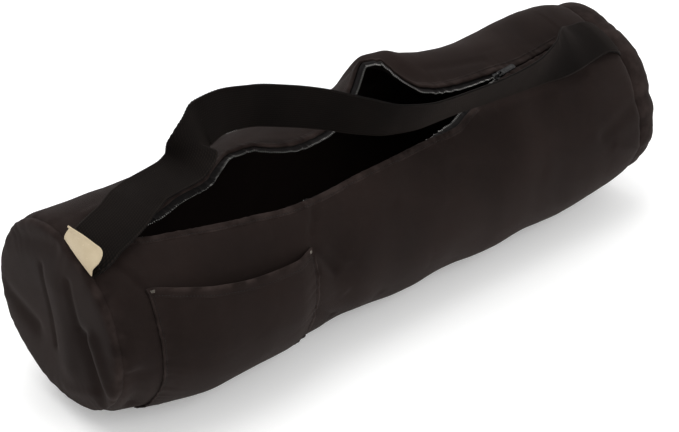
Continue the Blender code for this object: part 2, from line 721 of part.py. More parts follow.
def build_label(surface, parent):
    """A bare cloth label sewn into the left end seam over the strap's end."""
    maker = bmesh.new()
    rows = strap_route()
    first = rows[0].along
    low = STRAP_THICK / 2 + SEAM_GAP
    sections = []
    for j in range(LABEL_ROWS + 1):
        place = -1.0 + 2.0 * j / LABEL_ROWS
        aside = place * LABEL_LENGTH / 2
        from_end = (1 - abs(place)) * LABEL_LENGTH / 2
        cut = 0.0 if place > 0 else max(0.0, 1 - from_end / LABEL_CORNER)
        turn = math.asin(cut * math.sin(math.radians(LABEL_CORNER_ANGLE)))
        width = LABEL_WIDTH - LABEL_CORNER * (1 - math.cos(turn))
        near, far = first, first + width / HALF_LENGTH
        across = aside / (STRAP_WIDTH / 2)
        middle = (near + far) / 2
        over = [strap_point(rows, a, across, low + LABEL_THICK) for a in (near, middle, far)]
        under = [strap_point(rows, a, across, low) for a in (far, middle, near)]
        sections.append(over + under)
    bar(maker, sections)
    return add_object("label", maker, surface, parent)


def empty(name, matrix, parent=None):
    made = bpy.data.objects.new(name, None)
    bpy.context.scene.collection.objects.link(made)
    made.parent = parent
    made.matrix_local = matrix
    return made


def middle_of_box():
    """The middle of the whole bag's box, seen from above."""
    bpy.context.view_layer.update()
    graph = bpy.context.evaluated_depsgraph_get()
    corners = []
    for thing in bpy.context.scene.objects:
        if thing.type == "MESH" and not thing.hide_render:
            shown = thing.evaluated_get(graph)
            corners += [shown.matrix_world @ v.co for v in shown.data.vertices]
    low = [min(c[i] for c in corners) for i in range(2)]
    high = [max(c[i] for c in corners) for i in range(2)]
    return Vector(((low[0] + high[0]) / 2, (low[1] + high[1]) / 2, 0.0))


def main():
    for old in list(bpy.data.objects):
        bpy.data.objects.remove(old, do_unlink=True)
    canvas = material("canvas", BLACK_CANVAS, 0.85)
    webbing = material("webbing", BLACK_WEBBING, 0.8)
    teeth = material("zip_teeth", BRIGHT_METAL, 0.3, 1.0)
    metal = material("black_metal", BLACK_METAL, 0.35, 1.0)
    cream = material("label_canvas", NATURAL_CANVAS, 0.8)

    bag = empty("bag_frame", Matrix.Identity(4))
    build_body(canvas, bag)
    build_cap("end_cap_left", -1, LEFT_BULGE, 0.0, canvas, bag)
    build_cap("end_cap_right", 1, RIGHT_BULGE, RIGHT_TILT, canvas, bag)
    build_pocket(canvas, bag)
    for side in ("near", "far"):
        build_tape(side, webbing, bag)
        build_teeth(side, teeth, bag)
    frame = slider_frame()
    heights = slider_heights(frame)
    slider = empty("slider_frame", frame, bag)
    build_slider(metal, slider, heights)
    hinge = empty("pull_hinge", Matrix.Translation((0.0, 0.0, heights[2])), slider)
    build_pull(metal, hinge, heights)
    build_strap(webbing, bag)
    build_label(cream, bag)
    bag.location = -middle_of_box()


main()
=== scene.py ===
# %% [markdown]
# # A black canvas mat bag
# A long round shoulder bag lies on its side, with its zip mouth part open and its strap arched
# over the mouth. The model that this lesson starts from already has every piece at its place
# and size, so each cell below gives one of them its real surface: cloth, webbing, thread, metal.

# %% The frame
import json
import math

import bmesh
import bpy
import numpy as np
from mathutils import Matrix, Vector


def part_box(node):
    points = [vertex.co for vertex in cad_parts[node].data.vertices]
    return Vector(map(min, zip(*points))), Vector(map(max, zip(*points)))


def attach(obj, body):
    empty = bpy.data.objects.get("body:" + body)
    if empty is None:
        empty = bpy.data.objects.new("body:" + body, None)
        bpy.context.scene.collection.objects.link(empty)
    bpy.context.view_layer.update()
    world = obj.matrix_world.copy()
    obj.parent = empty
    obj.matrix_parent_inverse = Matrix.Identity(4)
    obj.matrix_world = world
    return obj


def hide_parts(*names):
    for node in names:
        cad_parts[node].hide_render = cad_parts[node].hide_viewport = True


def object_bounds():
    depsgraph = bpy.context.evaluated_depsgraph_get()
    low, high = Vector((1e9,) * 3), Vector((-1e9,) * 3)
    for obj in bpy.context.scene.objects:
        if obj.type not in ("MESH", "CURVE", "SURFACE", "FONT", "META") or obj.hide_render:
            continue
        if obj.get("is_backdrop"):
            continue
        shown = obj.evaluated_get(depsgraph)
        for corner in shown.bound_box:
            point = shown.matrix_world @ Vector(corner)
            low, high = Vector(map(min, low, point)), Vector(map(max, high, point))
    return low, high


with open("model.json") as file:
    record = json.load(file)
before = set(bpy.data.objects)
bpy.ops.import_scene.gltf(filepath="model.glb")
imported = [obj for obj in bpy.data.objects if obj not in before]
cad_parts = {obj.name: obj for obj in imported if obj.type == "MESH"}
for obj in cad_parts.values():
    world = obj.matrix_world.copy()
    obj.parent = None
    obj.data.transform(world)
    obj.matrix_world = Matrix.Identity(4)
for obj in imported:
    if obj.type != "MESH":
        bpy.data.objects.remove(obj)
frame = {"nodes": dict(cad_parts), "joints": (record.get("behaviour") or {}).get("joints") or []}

cad_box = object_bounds()
print("nodes:", sorted(frame["nodes"]))

# %% [markdown]
# ## The bag's own sizes
# All places on the bag are a share of its length, 0 at the left end seam and 1 at the right one,
# and an angle round it: 0 at the front, 90 on top, 180 at the back. The bag's axis isn't the
# middle of the whole model, because the strap and the swollen right end count in that too.

# %% Sizes in metres
LENGTH = 0.680  # between the two end seams
RADIUS = 0.104  # to the outside of the cloth
AXIS_HEIGHT = 0.099  # the underside is pressed 5 mm flat
CLOTH = 0.0020
HALF = LENGTH / 2
AXIS_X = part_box("body_panel")[0].x + HALF
AXIS_Y = 0.00547  # the pocket makes the whole model reach further to the front
print(f"the bag's axis crosses X = {AXIS_X:.4f}, Y = {AXIS_Y:.4f}")

# %% [markdown]
# ## Reading a table smoothly
# A maker measures a bag in a few sections. This curve passes through every row without ever
# overshooting it, so a flat stretch in the table stays flat in the cloth.


# %% Curves through tables
def curve(places, keys, values):
    """Values at places on a smooth curve through the keys and values."""
    keys, values = np.asarray(keys, float), np.asarray(values, float)
    places = np.clip(places, keys[0], keys[-1])
    steps = np.diff(values) / np.diff(keys)
    rising = steps[:-1] * steps[1:] > 0
    slopes = np.zeros(len(keys))
    total = np.where(rising, steps[:-1] + steps[1:], 1.0)
    slopes[1:-1] = np.where(rising, 2 * steps[:-1] * steps[1:] / total, 0.0)
    i = np.clip(np.searchsorted(keys, places, side="right") - 1, 0, len(keys) - 2)
    span = keys[i + 1] - keys[i]
    t = (places - keys[i]) / span
    ends = values[i] * (1 + 2 * t) * (1 - t) ** 2 + values[i + 1] * t * t * (3 - 2 * t)
    return ends + span * (slopes[i] * t * (1 - t) ** 2 - slopes[i + 1] * t * t * (1 - t))


def read(rows, column, places):
    """A column of a table at these places, which its first column holds."""
    return curve(places, [row[0] for row in rows], [row[column] for row in rows])


def ease(t):
    """0 below 0, 1 above 1, and a smooth step between."""
    t = np.clip(t, 0.0, 1.0)
    return t * t * (3 - 2 * t)


def near_to(distance, width):
    """1 at no distance, falling away smoothly within this width."""
    return np.exp(-((distance / width) ** 2))


def unit(vectors):
    return vectors / np.linalg.norm(vectors, axis=-1, keepdims=True)


# %% [markdown]
# ## Uneven cloth
# No sheet of canvas lies perfectly round. A few dozen long waves, each in its own direction,
# add up to the soft unevenness of filled cloth. Where such a sum passes through zero it can be
# sharpened into a thin crease.


# %% Soft waves and thin creases
def waves(points, size, seed, count=24):
    """Soft unevenness of about -1 to 1, with hollows about this far apart."""
    chance = np.random.default_rng(seed)
    ways = unit(chance.normal(size=(count, 3)))
    turns = 2 * np.pi / size * chance.uniform(0.6, 1.5, count)
    starts = chance.uniform(0, 2 * np.pi, count)
    return np.sin(points @ (ways * turns[:, None]).T + starts).sum(-1) / math.sqrt(count)


def creases(points, size, seed, sharp=5.0):
    """Thin lines from 0 to 1 where the cloth has been crumpled."""
    return np.exp(-sharp * np.abs(waves(points, size, seed)))


# %% [markdown]
# ## The bag's round form
# The filled bag is nearly a cylinder, a little pinched at both ends and fuller at the right.
# The table gives the distance from the axis to the cloth at the front, top, back and underside.

# %% Sections: share, front, top, back, under, as shares of the radius
SECTIONS = [
    (0.000, 0.945, 0.980, 0.965, 0.770),
    (0.020, 0.985, 1.000, 0.985, 0.845),
    (0.070, 1.000, 1.000, 1.000, 0.940),
    (0.150, 1.000, 1.000, 1.000, 1.000),
    (0.550, 1.000, 1.000, 1.000, 1.000),
    (0.750, 1.010, 1.020, 1.010, 1.000),
    (0.880, 1.010, 1.050, 1.030, 0.990),
    (0.950, 1.000, 1.050, 1.030, 0.930),
    (0.985, 0.980, 1.030, 1.010, 0.880),
    (1.000, 0.950, 1.000, 0.980, 0.840),
]

# %% [markdown]
# ## The zip's mouth
# The mouth is a long cut in the cloth. Its near edge lies along the front. Its far edge runs
# behind, and right of the middle it stands up in a rolled hump, because the zip is longer than
# the opening it has to lie in. Each row gives both edges' angles, how far the far edge stands
# up, how far the cloth behind it swells, and how far each tape turns inwards.

# %% Mouth: share, near angle, far angle, lift, swell, near turn, far turn
MOUTH = [
    (0.050, 66.4, 70.6, 0.00, 0.00, 0.0, 0.0),
    (0.093, 61.0, 72.0, 0.00, 0.00, 30.0, 0.0),
    (0.126, 58.5, 72.5, 0.00, 0.00, 70.0, 0.0),
    (0.169, 55.0, 76.5, 0.00, 0.00, 75.0, 0.0),
    (0.221, 51.5, 79.5, 0.00, 0.02, 75.0, 0.0),
    (0.254, 49.8, 87.0, 0.01, 0.03, 75.0, 0.0),
    (0.288, 47.5, 94.0, 0.02, 0.03, 75.0, 0.0),
    (0.318, 46.6, 93.0, 0.02, 0.02, 75.0, 0.0),
    (0.351, 46.5, 85.0, 0.01, 0.01, 75.0, 0.0),
    (0.390, 47.3, 81.0, 0.00, 0.00, 75.0, 0.0),
    (0.430, 48.5, 82.0, 0.00, 0.00, 75.0, 0.0),
    (0.482, 49.3, 87.5, 0.05, 0.00, 75.0, 30.0),
    (0.515, 50.0, 93.0, 0.21, 0.00, 75.0, 50.0),
    (0.546, 50.8, 96.0, 0.38, 0.04, 75.0, 60.0),
    (0.577, 51.2, 95.0, 0.35, 0.17, 60.0, 50.0),
    (0.605, 51.0, 90.0, 0.16, 0.27, 30.0, 30.0),
    (0.630, 51.5, 83.0, 0.04, 0.27, 10.0, 10.0),
    (0.656, 55.0, 78.5, 0.01, 0.21, 0.0, 0.0),
    (0.704, 61.0, 75.0, 0.00, 0.14, 0.0, 0.0),
    (0.757, 66.2, 74.0, 0.00, 0.11, 0.0, 0.0),
    (0.790, 68.6, 72.7, 0.00, 0.10, 0.0, 0.0),
    (0.935, 71.6, 75.7, 0.00, 0.10, 0.0, 0.0),
]
EDGE = {"near": 1, "far": 2}
LIFT, SWELL = 3, 4
TURN = {"near": 5, "far": 6}
WAY = {"near": 1.0, "far": -1.0}
ZIP_START = 0.042 / LENGTH
ZIP_END = 1 - 0.048 / LENGTH
ZIP_TACK = 0.003 / LENGTH  # cloth past the tape at both ends
LIFT_FROM = 140.0  # where the cloth behind the mouth starts to stand up
LIFT_HOOK = 3.2  # how much of that rise is close to the edge


def edge_angle(share, side):
    """The angle of the mouth's edge, which closes over a tack's length at both ends."""
    middle = (read(MOUTH, 1, share) + read(MOUTH, 2, share)) / 2
    opened = ease((share - ZIP_START) / ZIP_TACK) * ease((ZIP_END - share) / ZIP_TACK)
    return middle + (read(MOUTH, EDGE[side], share) - middle) * opened


def lift_height(share, angle):
    """How far the cloth behind the mouth stands up towards its edge, and swells behind it."""
    far = edge_angle(share, "far")
    behind = np.mod(angle, 360.0)
    t = (LIFT_FROM - behind) / (LIFT_FROM - far)
    inside = (t > 0) & (t <= 1 + 1e-6)
    t = np.clip(t, 0.0, 1.0)
    lift = read(MOUTH, LIFT, share) * t**LIFT_HOOK
    swell = read(MOUTH, SWELL, share) * np.sin(np.pi * t) ** 2
    return np.where(inside, (lift + swell) * RADIUS, 0.0)


# %% [markdown]
# ## Folds
# Each fold runs between two places on the cloth, stands out or dips in, and has a half width.
# The first table holds the large ones. The second adds the finer ones that the eye finds where
# cloth is pulled: from the pocket's corner, under the strap's ends and beside the zip.

# %% Folds: share and angle at both ends, height and half width as shares of the radius
FOLDS = [
    (0.018, -6.0, 0.033, -44.0, -0.060, 0.09),
    (0.232, 96.0, 0.262, 114.0, 0.050, 0.11),
    (0.268, 98.0, 0.300, 116.0, -0.035, 0.11),
    (0.290, 128.0, 0.400, 112.0, 0.025, 0.14),
    (0.346, 10.0, 0.390, -42.0, -0.030, 0.15),
    (0.395, 12.0, 0.420, -30.0, 0.022, 0.18),
    (0.800, 42.0, 0.970, 30.0, -0.045, 0.24),
    (0.830, 46.0, 0.975, 38.0, 0.025, 0.13),
    (0.700, 118.0, 0.860, 96.0, -0.020, 0.20),
]
FINE_FOLDS = [
    (0.318, 22.0, 0.352, 4.0, -0.026, 0.040),
    (0.322, 8.0, 0.372, -12.0, 0.028, 0.045),
    (0.320, -16.0, 0.366, -34.0, -0.028, 0.045),
    (0.324, 30.0, 0.350, 46.0, -0.024, 0.040),
    (0.340, 34.0, 0.470, 26.0, -0.014, 0.060),
    (0.380, 2.0, 0.450, -30.0, -0.018, 0.070),
    (0.430, 40.0, 0.560, 18.0, 0.014, 0.090),
    (0.600, 30.0, 0.760, 8.0, -0.016, 0.100),
    (0.056, 36.0, 0.030, 58.0, -0.026, 0.035),
    (0.720, 52.0, 0.900, 50.0, -0.016, 0.050),
    (0.860, 58.0, 0.985, 47.0, 0.016, 0.045),
    (0.900, 12.0, 0.992, 22.0, -0.018, 0.060),
    (0.930, 2.0, 0.994, -8.0, 0.014, 0.060),
    (0.006, 44.0, 0.060, 40.0, -0.014, 0.045),
    (0.006, 20.0, 0.045, 12.0, 0.012, 0.040),
    (0.006, 150.0, 0.110, 138.0, -0.016, 0.060),
    (0.500, 128.0, 0.640, 112.0, 0.012, 0.070),
    (0.660, 92.0, 0.760, 84.0, -0.012, 0.045),
    (0.050, 90.0, 0.190, 100.0, 0.014, 0.050),
]


def turn_between(angle_a, angle_b):
    """The shortest turn from one angle to the other, in degrees."""
    return np.mod(angle_b - angle_a + 180.0, 360.0) - 180.0


def off_line(x, y, run_x, run_y):
    """How far places are from a line that starts at 0, 0 and has this run."""
    t = np.clip((x * run_x + y * run_y) / (run_x**2 + run_y**2), 0.0, 1.0)
    return np.hypot(x - run_x * t, y - run_y * t)


def fold_height(share, angle, folds):
    """How far a table's folds together move the cloth."""
    total = np.zeros(np.shape(share))
    for share_a, angle_a, share_b, angle_b, height, width in folds:
        turns = [np.radians(turn_between(angle_a, other)) * RADIUS for other in (angle, angle_b)]
        x, run_x = (share - share_a) * LENGTH, (share_b - share_a) * LENGTH
        total += height * RADIUS * near_to(off_line(x, turns[0], run_x, turns[1]), width * RADIUS)
    return total


# %% [markdown]
# ## Puckers and the turned ends
# Thread draws cloth together, so every seam has small puckers along it, uneven like the hand
# that fed the cloth. At both ends of the bag the cloth also rolls into the end seam.


# %% The cloth's fine shape
END_PUCKER, END_PITCH = 0.0005, 0.0190
MOUTH_PUCKER, MOUTH_PITCH = 0.00055, 0.0100


def puckers(along, pitch, seed):
    """Uneven ripples of -1 to 1 along a seam."""
    drift = 1.7 * np.sin(2 * np.pi * along / (pitch * 4.3) + seed)
    drift = drift + 0.9 * np.sin(2 * np.pi * along / (pitch * 1.9) + 2.6 * seed)
    strength = 0.65 + 0.35 * np.sin(2 * np.pi * along / (pitch * 6.1) + 1.3 * seed)
    return np.sin(2 * np.pi * along / pitch + drift) * strength


def fine_height(share, angle):
    """Wrinkles, puckers and the roll into the end seams, in metres."""
    turn = np.radians(angle)
    x = share * LENGTH
    place = np.stack([x, -np.cos(turn) * RADIUS, np.sin(turn) * RADIUS], -1)
    height = fold_height(share, angle, FINE_FOLDS)
    height += 0.00110 * waves(place, 0.110, 3) + 0.00022 * waves(place, 0.034, 4)
    height -= 0.0006 * creases(place, 0.15, 5, 8.0) * (0.35 + 0.65 * ease(waves(place, 0.16, 6)))
    ends = np.minimum(x, LENGTH - x)
    height += END_PUCKER * puckers(turn * RADIUS, END_PITCH, 1.0) * np.exp(-ends / 0.014)
    height -= 0.0026 * near_to(ends, 0.0032)
    for side in WAY:
        inset = np.abs(turn_between(edge_angle(share, side), angle)) * math.pi / 180 * RADIUS
        mouth = ease((share - ZIP_START) / 0.02) * ease((ZIP_END - share) / 0.02)
        ripple = MOUTH_PUCKER * puckers(x, MOUTH_PITCH, 2.0 + EDGE[side])
        height += ripple * np.exp(-inset / 0.010) * mouth
    return height


def bag_point(share, angle, out=0.0):
    """Places on the outside of the bag, or this far out from it, in the frame."""
    share, angle, out = np.broadcast_arrays(share, angle, out)
    turn = np.radians(angle)
    front = np.where(np.cos(turn) >= 0, read(SECTIONS, 1, share), read(SECTIONS, 3, share))
    upper = np.where(np.sin(turn) >= 0, read(SECTIONS, 2, share), read(SECTIONS, 4, share))
    stand = fold_height(share, angle, FOLDS) + lift_height(share, angle)
    stand = stand + fine_height(share, angle) + out
    x = share * LENGTH - HALF + AXIS_X
    y = -np.cos(turn) * (front * RADIUS + stand) + AXIS_Y
    z = np.sin(turn) * (upper * RADIUS + stand) + AXIS_HEIGHT
    return np.stack([x, y, np.maximum(z, 0.0)], -1)


# %% [markdown]
# ## Making meshes from grids
# Every piece of cloth here is a grid of points. Beside its place each corner keeps a second
# address, how many metres it lies along and across the flat cloth. The weave is drawn with that
# address, so its threads keep their size and follow each fold, as in real cloth. Further marks
# say how rubbed the cloth is and where its ribs stand up.


# %% A grid of quads
def lengths_along(points):
    """How far each point lies along its row of points, in metres."""
    steps = np.linalg.norm(np.diff(points, axis=0), axis=-1)
    return np.concatenate([np.zeros((1, *steps.shape[1:])), np.cumsum(steps, 0)])


def flat_address(points):
    """The address on the flat cloth of every point of a grid."""
    return np.stack([lengths_along(points), lengths_along(points.swapaxes(0, 1)).T], -1)


def grid_mesh(name, points, weave=None, joined=False, flip=False, ends=False, **marks):
    """A mesh from rows of points. A row's last point is its first one where it is joined."""
    rows, columns = points.shape[:2]
    weave = flat_address(points) if weave is None else weave
    index = np.arange(rows * columns).reshape(rows, columns)
    index[:, -1] = np.where(joined, index[:, 0], index[:, -1])
    corners = [(slice(0, -1), slice(0, -1)), (slice(1, None), slice(0, -1))]
    corners += [(slice(1, None), slice(1, None)), (slice(0, -1), slice(1, None))]
    if flip:
        corners = corners[::-1]
    faces = np.stack([index[a, b] for a, b in corners], -1).reshape(-1, 4)
    address = np.stack([weave[a, b] for a, b in corners], -2).reshape(-1, 2)
    used, place = np.unique(faces, return_inverse=True)
    faces = place.reshape(-1, 4).tolist()
    if ends:
        places = place.reshape(rows - 1, columns - 1, 4)
        first, last = (places[k, :, 1 if k else 0].tolist() for k in (0, -1))
        faces += [first, last[::-1]] if flip else [first[::-1], last]
        address = np.concatenate([address, np.zeros((2 * (columns - 1), 2))])
    mesh = bpy.data.meshes.new(name)
    mesh.from_pydata(points.reshape(-1, 3)[used].tolist(), [], faces)
    layer = mesh.attributes.new("weave", "FLOAT_VECTOR", "CORNER")
    address = np.concatenate([address, np.zeros((len(address), 1))], 1)
    layer.data.foreach_set("vector", address.astype(np.float32).ravel())
    for mark, values in marks.items():
        layer = mesh.attributes.new(mark, "FLOAT", "POINT")
        layer.data.foreach_set("value", values.reshape(-1)[used].astype(np.float32))
    return mesh


# %% Pieces of the scene
def new_piece(name, mesh, surface, node=None, body="bag", smooth=True):
    """A piece from a mesh, which rides on a body and may stand in a node's place."""
    mesh.materials.append(surface)
    if smooth:
        mesh.shade_smooth()
    piece = bpy.data.objects.new(name, mesh)
    bpy.context.scene.collection.objects.link(piece)
    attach(piece, body)
    if node:
        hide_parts(node)
    return piece


def thicken(piece, thickness):
    """Gives a sheet its wall, inwards from its outside."""
    wall = piece.modifiers.new("wall", "SOLIDIFY")
    wall.thickness = thickness
    wall.offset = -1.0
    return piece


def sweep(name, columns, surface, slot, node=None, rub=None, **how):
    """A closed section along a line: a list of points and a wear for each of its corners."""
    points = np.stack(columns + columns[:1], 1)
    if rub:
        how["rub"] = np.tile(rub + rub[:1], (len(points), 1))
    return new_piece(name, grid_mesh(name, points, joined=True, ends=True, **how), surface, node)


# %% [markdown]
# ## Building materials
# A material is a small machine of nodes. These helpers write its sums the way one would say
# them, and read the cloth's address.


# %% Node helpers
class Nodes:
    """A material's nodes, with short ways to add sums, mixes and noise."""

    def __init__(self, name, colour, roughness, metallic=0.0):
        self.material = bpy.data.materials.new(name)
        self.material.use_nodes = True
        self.tree = self.material.node_tree
        self.shader = self.tree.nodes["Principled BSDF"]
        self.set("Base Color", (*colour, 1.0))
        self.set("Roughness", roughness)
        self.set("Metallic", metallic)

    def give(self, socket, value):
        """Links a node's output to an input, or writes a plain value there."""
        if isinstance(value, bpy.types.NodeSocket):
            self.tree.links.new(value, socket)
        elif value is not None:
            socket.default_value = value

    def set(self, name, value):
        """Sets one of the shader's own inputs."""
        self.give(self.shader.inputs[name], value)

    def add(self, kind, *values, out=0, **settings):
        """A node with its settings and, in order, its inputs: numbers or other outputs."""
        node = self.tree.nodes.new("ShaderNode" + kind)
        for key, value in settings.items():
            setattr(node, key, value)
        for socket, value in zip(node.inputs, values):
            self.give(socket, value)
        return node.outputs[out]

    def sum(self, operation, a, b=None, c=None):
        return self.add("Math", a, b, c, operation=operation)

    def stored(self, name, out=2):
        return self.add("Attribute", attribute_name=name, out=out)

    def noise(self, scale, detail=3.0):
        return self.add("TexNoise", self.add("TexCoord", out=3), None, scale, detail)

    def ramp(self, value, low, high):
        """0 up to low and 1 from high."""
        return self.add("MapRange", value, low, high, 0.0, 1.0)

    def blend(self, share, colour_a, colour_b):
        """A colour between two, by a share."""
        node = self.tree.nodes.new("ShaderNodeMix")
        node.data_type = "RGBA"
        for k, value in ((0, share), (6, colour_a), (7, colour_b)):
            self.give(node.inputs[k], (*value, 1.0) if isinstance(value, tuple) else value)
        return node.outputs[2]

    def bump(self, height, distance, strength, before=None):
        node = self.tree.nodes.new("ShaderNodeBump")
        values = {"Strength": strength, "Distance": distance, "Height": height, "Normal": before}
        for name, value in values.items():
            self.give(node.inputs[name], value)
        return node.outputs[0]


# %% [markdown]
# ## A plain weave
# In canvas each thread passes over one crossing thread and under the next. A thread's height is
# round across its width and rises and falls along it, and its neighbour does the opposite. The
# higher of the two crossing threads is the one that shows.


# %% The weave's height
def weave_height(n, pitch):
    """Height from 0 to 1 of a plain weave with this thread pitch, in metres."""
    split = n.add("SeparateXYZ", n.stored("weave", out=1))
    u, v = [n.sum("DIVIDE", metres, pitch) for metres in (split, split.node.outputs[1])]
    threads = []
    for place, other, start in ((u, v, 0.0), (v, u, 1.0)):
        own = n.sum("FLOOR", place)
        roundness = n.sum("ABSOLUTE", n.sum("SINE", n.sum("MULTIPLY", place, math.pi)))
        phase = n.sum("MULTIPLY", n.sum("ADD", n.sum("ADD", other, own), start), math.pi)
        over = n.sum("MULTIPLY_ADD", n.sum("SINE", phase), 0.42, 0.58)
        threads.append(n.sum("MULTIPLY", roundness, over))
    return n.sum("MAXIMUM", *threads)


# %% [markdown]
# ## Black canvas
# The cloth is heavy cotton, dyed black: matt, a little warm, with uneven dye, paler threads on
# the crowns of the weave, a faint bloom at grazing angles and some lint. Edges that rub on
# everything are greyer. Sheen gives the bloom, and it is one value for the whole cloth.


# %% Canvas
CLOTH_SHEEN = {"Sheen Roughness": 0.45, "Sheen Tint": (1.0, 0.80, 0.74, 1.0), "Specular IOR Level": 0.10}


def make_cloth(name, dark, light, pitch, relief, sheen=0.03, ribbed=False):
    """A matt woven cloth between two close colours, with painted shade in the grooves where it is ribbed.
    """
    n = Nodes(name, dark, 0.9)
    height = weave_height(n, pitch)
    dye = n.ramp(n.noise(11.0, 4.0), 0.35, 0.68)
    tone = n.sum("MULTIPLY_ADD", n.noise(160.0, 2.0), 0.5, dye)
    tone = n.sum("MULTIPLY_ADD", height, 0.35, tone)
    colour = n.blend(n.ramp(tone, 0.35, 1.65), dark, light)
    worn = n.sum("MULTIPLY", n.stored("rub"), n.ramp(n.noise(70.0, 4.0), 0.40, 0.70))
    rubbed = tuple(c * 2.6 + 0.012 for c in light)
    colour = n.blend(n.sum("MULTIPLY", worn, 0.75), colour, rubbed)
    if ribbed:
        # Painted shade: the grooves between the webbing's ribs get a much darker colour.
        painted_groove_shade = tuple(c * 0.12 for c in dark)
        colour = n.blend(n.stored("crown"), painted_groove_shade, colour)
    lint = n.ramp(n.noise(900.0, 1.0), 0.755, 0.80)
    lint_colour = tuple(c * 4 + 0.03 for c in light)
    n.set("Base Color", n.blend(n.sum("MULTIPLY", lint, 0.30), colour, lint_colour))
    n.set("Roughness", n.sum("MULTIPLY_ADD", n.noise(45.0), 0.14, 0.80))
    fibres = n.bump(n.noise(420.0), 0.00012, 0.5)
    n.set("Normal", n.bump(height, relief, 0.8, fibres))
    n.set("Sheen Weight", sheen)
    for socket, value in CLOTH_SHEEN.items():
        n.set(socket, value)
    return n.material


canvas = make_cloth(
    "black_canvas", (0.0076, 0.0044, 0.0036), (0.0132, 0.0079, 0.0066), pitch=0.00085, relief=0.00016
)
print("canvas threads lie 0.85 mm apart")

# %% [markdown]
# ## Webbing, tape and thread
# Webbing is woven from thick cords, so its ribs are modelled as real bumps later, and the
# material adds the yarns on them and paints shade into the grooves between. The zip's tape is a
# finer, flatter weave. Thread is a twisted pair of yarns with a slight shine.

# %% Webbing, tape, label cloth and thread
webbing = make_cloth(
    "black_webbing", (0.0060, 0.0039, 0.0030), (0.0170, 0.0120, 0.0092), 0.00060, 0.00012, ribbed=True
)
tape_cloth = make_cloth(
    "zip_tape", (0.0060, 0.0055, 0.0055), (0.0110, 0.0100, 0.0100), 0.00055, 0.00010
)
label_cloth = make_cloth(
    "natural_canvas", (0.42, 0.335, 0.215), (0.58, 0.49, 0.345), 0.00075, 0.00018, sheen=0.10
)


def make_thread(name, colour):
    """Twisted sewing thread."""
    n = Nodes(name, colour, 0.75)
    n.set("Specular IOR Level", 0.15)
    fleck = n.noise(1500.0, 2.0)
    dark, light = (tuple(c * share for c in colour) for share in (0.7, 1.4))
    n.set("Base Color", n.blend(fleck, dark, light))
    n.set("Normal", n.bump(fleck, 0.0001, 0.6))
    n.set("Sheen Weight", 0.1)
    return n.material


black_thread = make_thread("black_thread", (0.0070, 0.0050, 0.0045))
# Painted highlight: the tacks are dark thread, and their glints are painted into this paler colour.
painted_highlight_thread = make_thread("painted_highlight_thread", (0.22, 0.20, 0.17))


# %% [markdown]
# ## Metal
# The teeth are small nickel castings, worn smooth on their heads and duller between them. Their
# colour is darker than bright nickel: painted shade for the dark inside of the bag that they reflect.
# The slider and its pull have a black finish that has rubbed through to grey in places.


# %% Nickel and black metal
def make_metal(name, colour, worn_colour, roughness, wear):
    """A metal whose finish is rubbed in patches."""
    n = Nodes(name, colour, roughness, 1.0)
    patches = n.ramp(n.noise(900.0, 4.0), 0.52, 0.66)
    n.set("Base Color", n.blend(n.sum("MULTIPLY", patches, wear), colour, worn_colour))
    n.set("Roughness", n.sum("MULTIPLY_ADD", n.noise(2500.0), 0.25, roughness - 0.1))
    n.set("Normal", n.bump(n.noise(3200.0), 0.00003, 0.5))
    return n.material


# The teeth's colour is darker than bright nickel: painted shade for the dark inside of the bag they
# reflect.
shade_darkened_nickel = make_metal("shade_darkened_nickel", (0.25, 0.245, 0.235), (0.08, 0.08, 0.076), 0.24, 0.7)
black_metal = make_metal("black_metal", (0.032, 0.032, 0.033), (0.22, 0.21, 0.20), 0.32, 0.5)

# %% [markdown]
# ## The round side of the bag
# One sheet of canvas goes once round the bag, from the mouth's near edge down the front, under
# the bag and up the back to the far edge. Its grid is closer at the two edges, where the shape
# changes most. Beyond the zip's ends the sheet closes, so those rows are joined.

# %% Body cloth
BODY_STATIONS, BODY_ROUND = 262, 150
END_STEP, CLEAR_STEP = 0.0022, 0.0011  # added stations at the ends, and the space they need
stations = np.linspace(0.0, 1.0, BODY_STATIONS)
extra = [start + way * ZIP_TACK * k / 2 for start, way in ((ZIP_START, 1), (ZIP_END, -1)) for k in range(3)]
extra += [abs(end - END_STEP * k) for end in (0, 1) for k in (0.7, 1.6)]
clear = np.abs(stations[:, None] - np.array(extra)).min(1) > CLEAR_STEP
stations = np.sort(np.concatenate([stations[clear | (stations % 1 == 0)], extra]))
around = np.linspace(0.0, 1.0, BODY_ROUND)
around = around - 0.45 / (2 * np.pi) * np.sin(2 * np.pi * around)
share = np.repeat(stations[:, None], BODY_ROUND, 1)
near, far = edge_angle(share, "near"), edge_angle(share, "far")
angle = near - (360.0 - far + near) * around
closed = (stations <= ZIP_START + 1e-9) | (stations >= ZIP_END - 1e-9)
weave = np.stack([share * LENGTH, -np.radians(angle) * RADIUS], -1)
from_end = np.minimum(share, 1 - share) * LENGTH
from_edge = np.minimum(around, 1 - around) * 2 * np.pi * RADIUS
rub = 0.5 * np.exp(-from_end / 0.006) + 0.35 * np.exp(-from_edge / 0.006) * ~closed[:, None]
mesh = grid_mesh("body_cloth", bag_point(share, angle), weave, closed, flip=True, rub=rub)
body_cloth = thicken(new_piece("body_cloth", mesh, canvas, "body_panel"), CLOTH)
print("body cloth:", len(mesh.polygons), "faces")

# %% [markdown]
# ## Edges of the mouth
# A raw edge would fray, so the maker turns it under and sews it down along the zip. The turned
# edge is a flat roll, about 7 mm wide and as thick as two layers more. It is swept along the
# edge here as a closed section. Where the zip is shut the two rolls nearly meet over the teeth.


# %% Turned edges
def edge_frame(share, side, inset=0.0):
    """Places this far in from the mouth's edge, the way to the opening and the way out."""

    def place(at, into):
        return bag_point(at, edge_angle(at, side) - WAY[side] * np.degrees(into / RADIUS))

    here = place(share, inset)
    across = unit(here - place(share, inset + 0.0012))
    along = unit(place(share + 0.003, inset) - place(share - 0.003, inset))
    across = unit(across - along * (across * along).sum(-1, keepdims=True))
    return here, across, np.cross(along, across) * WAY[side]


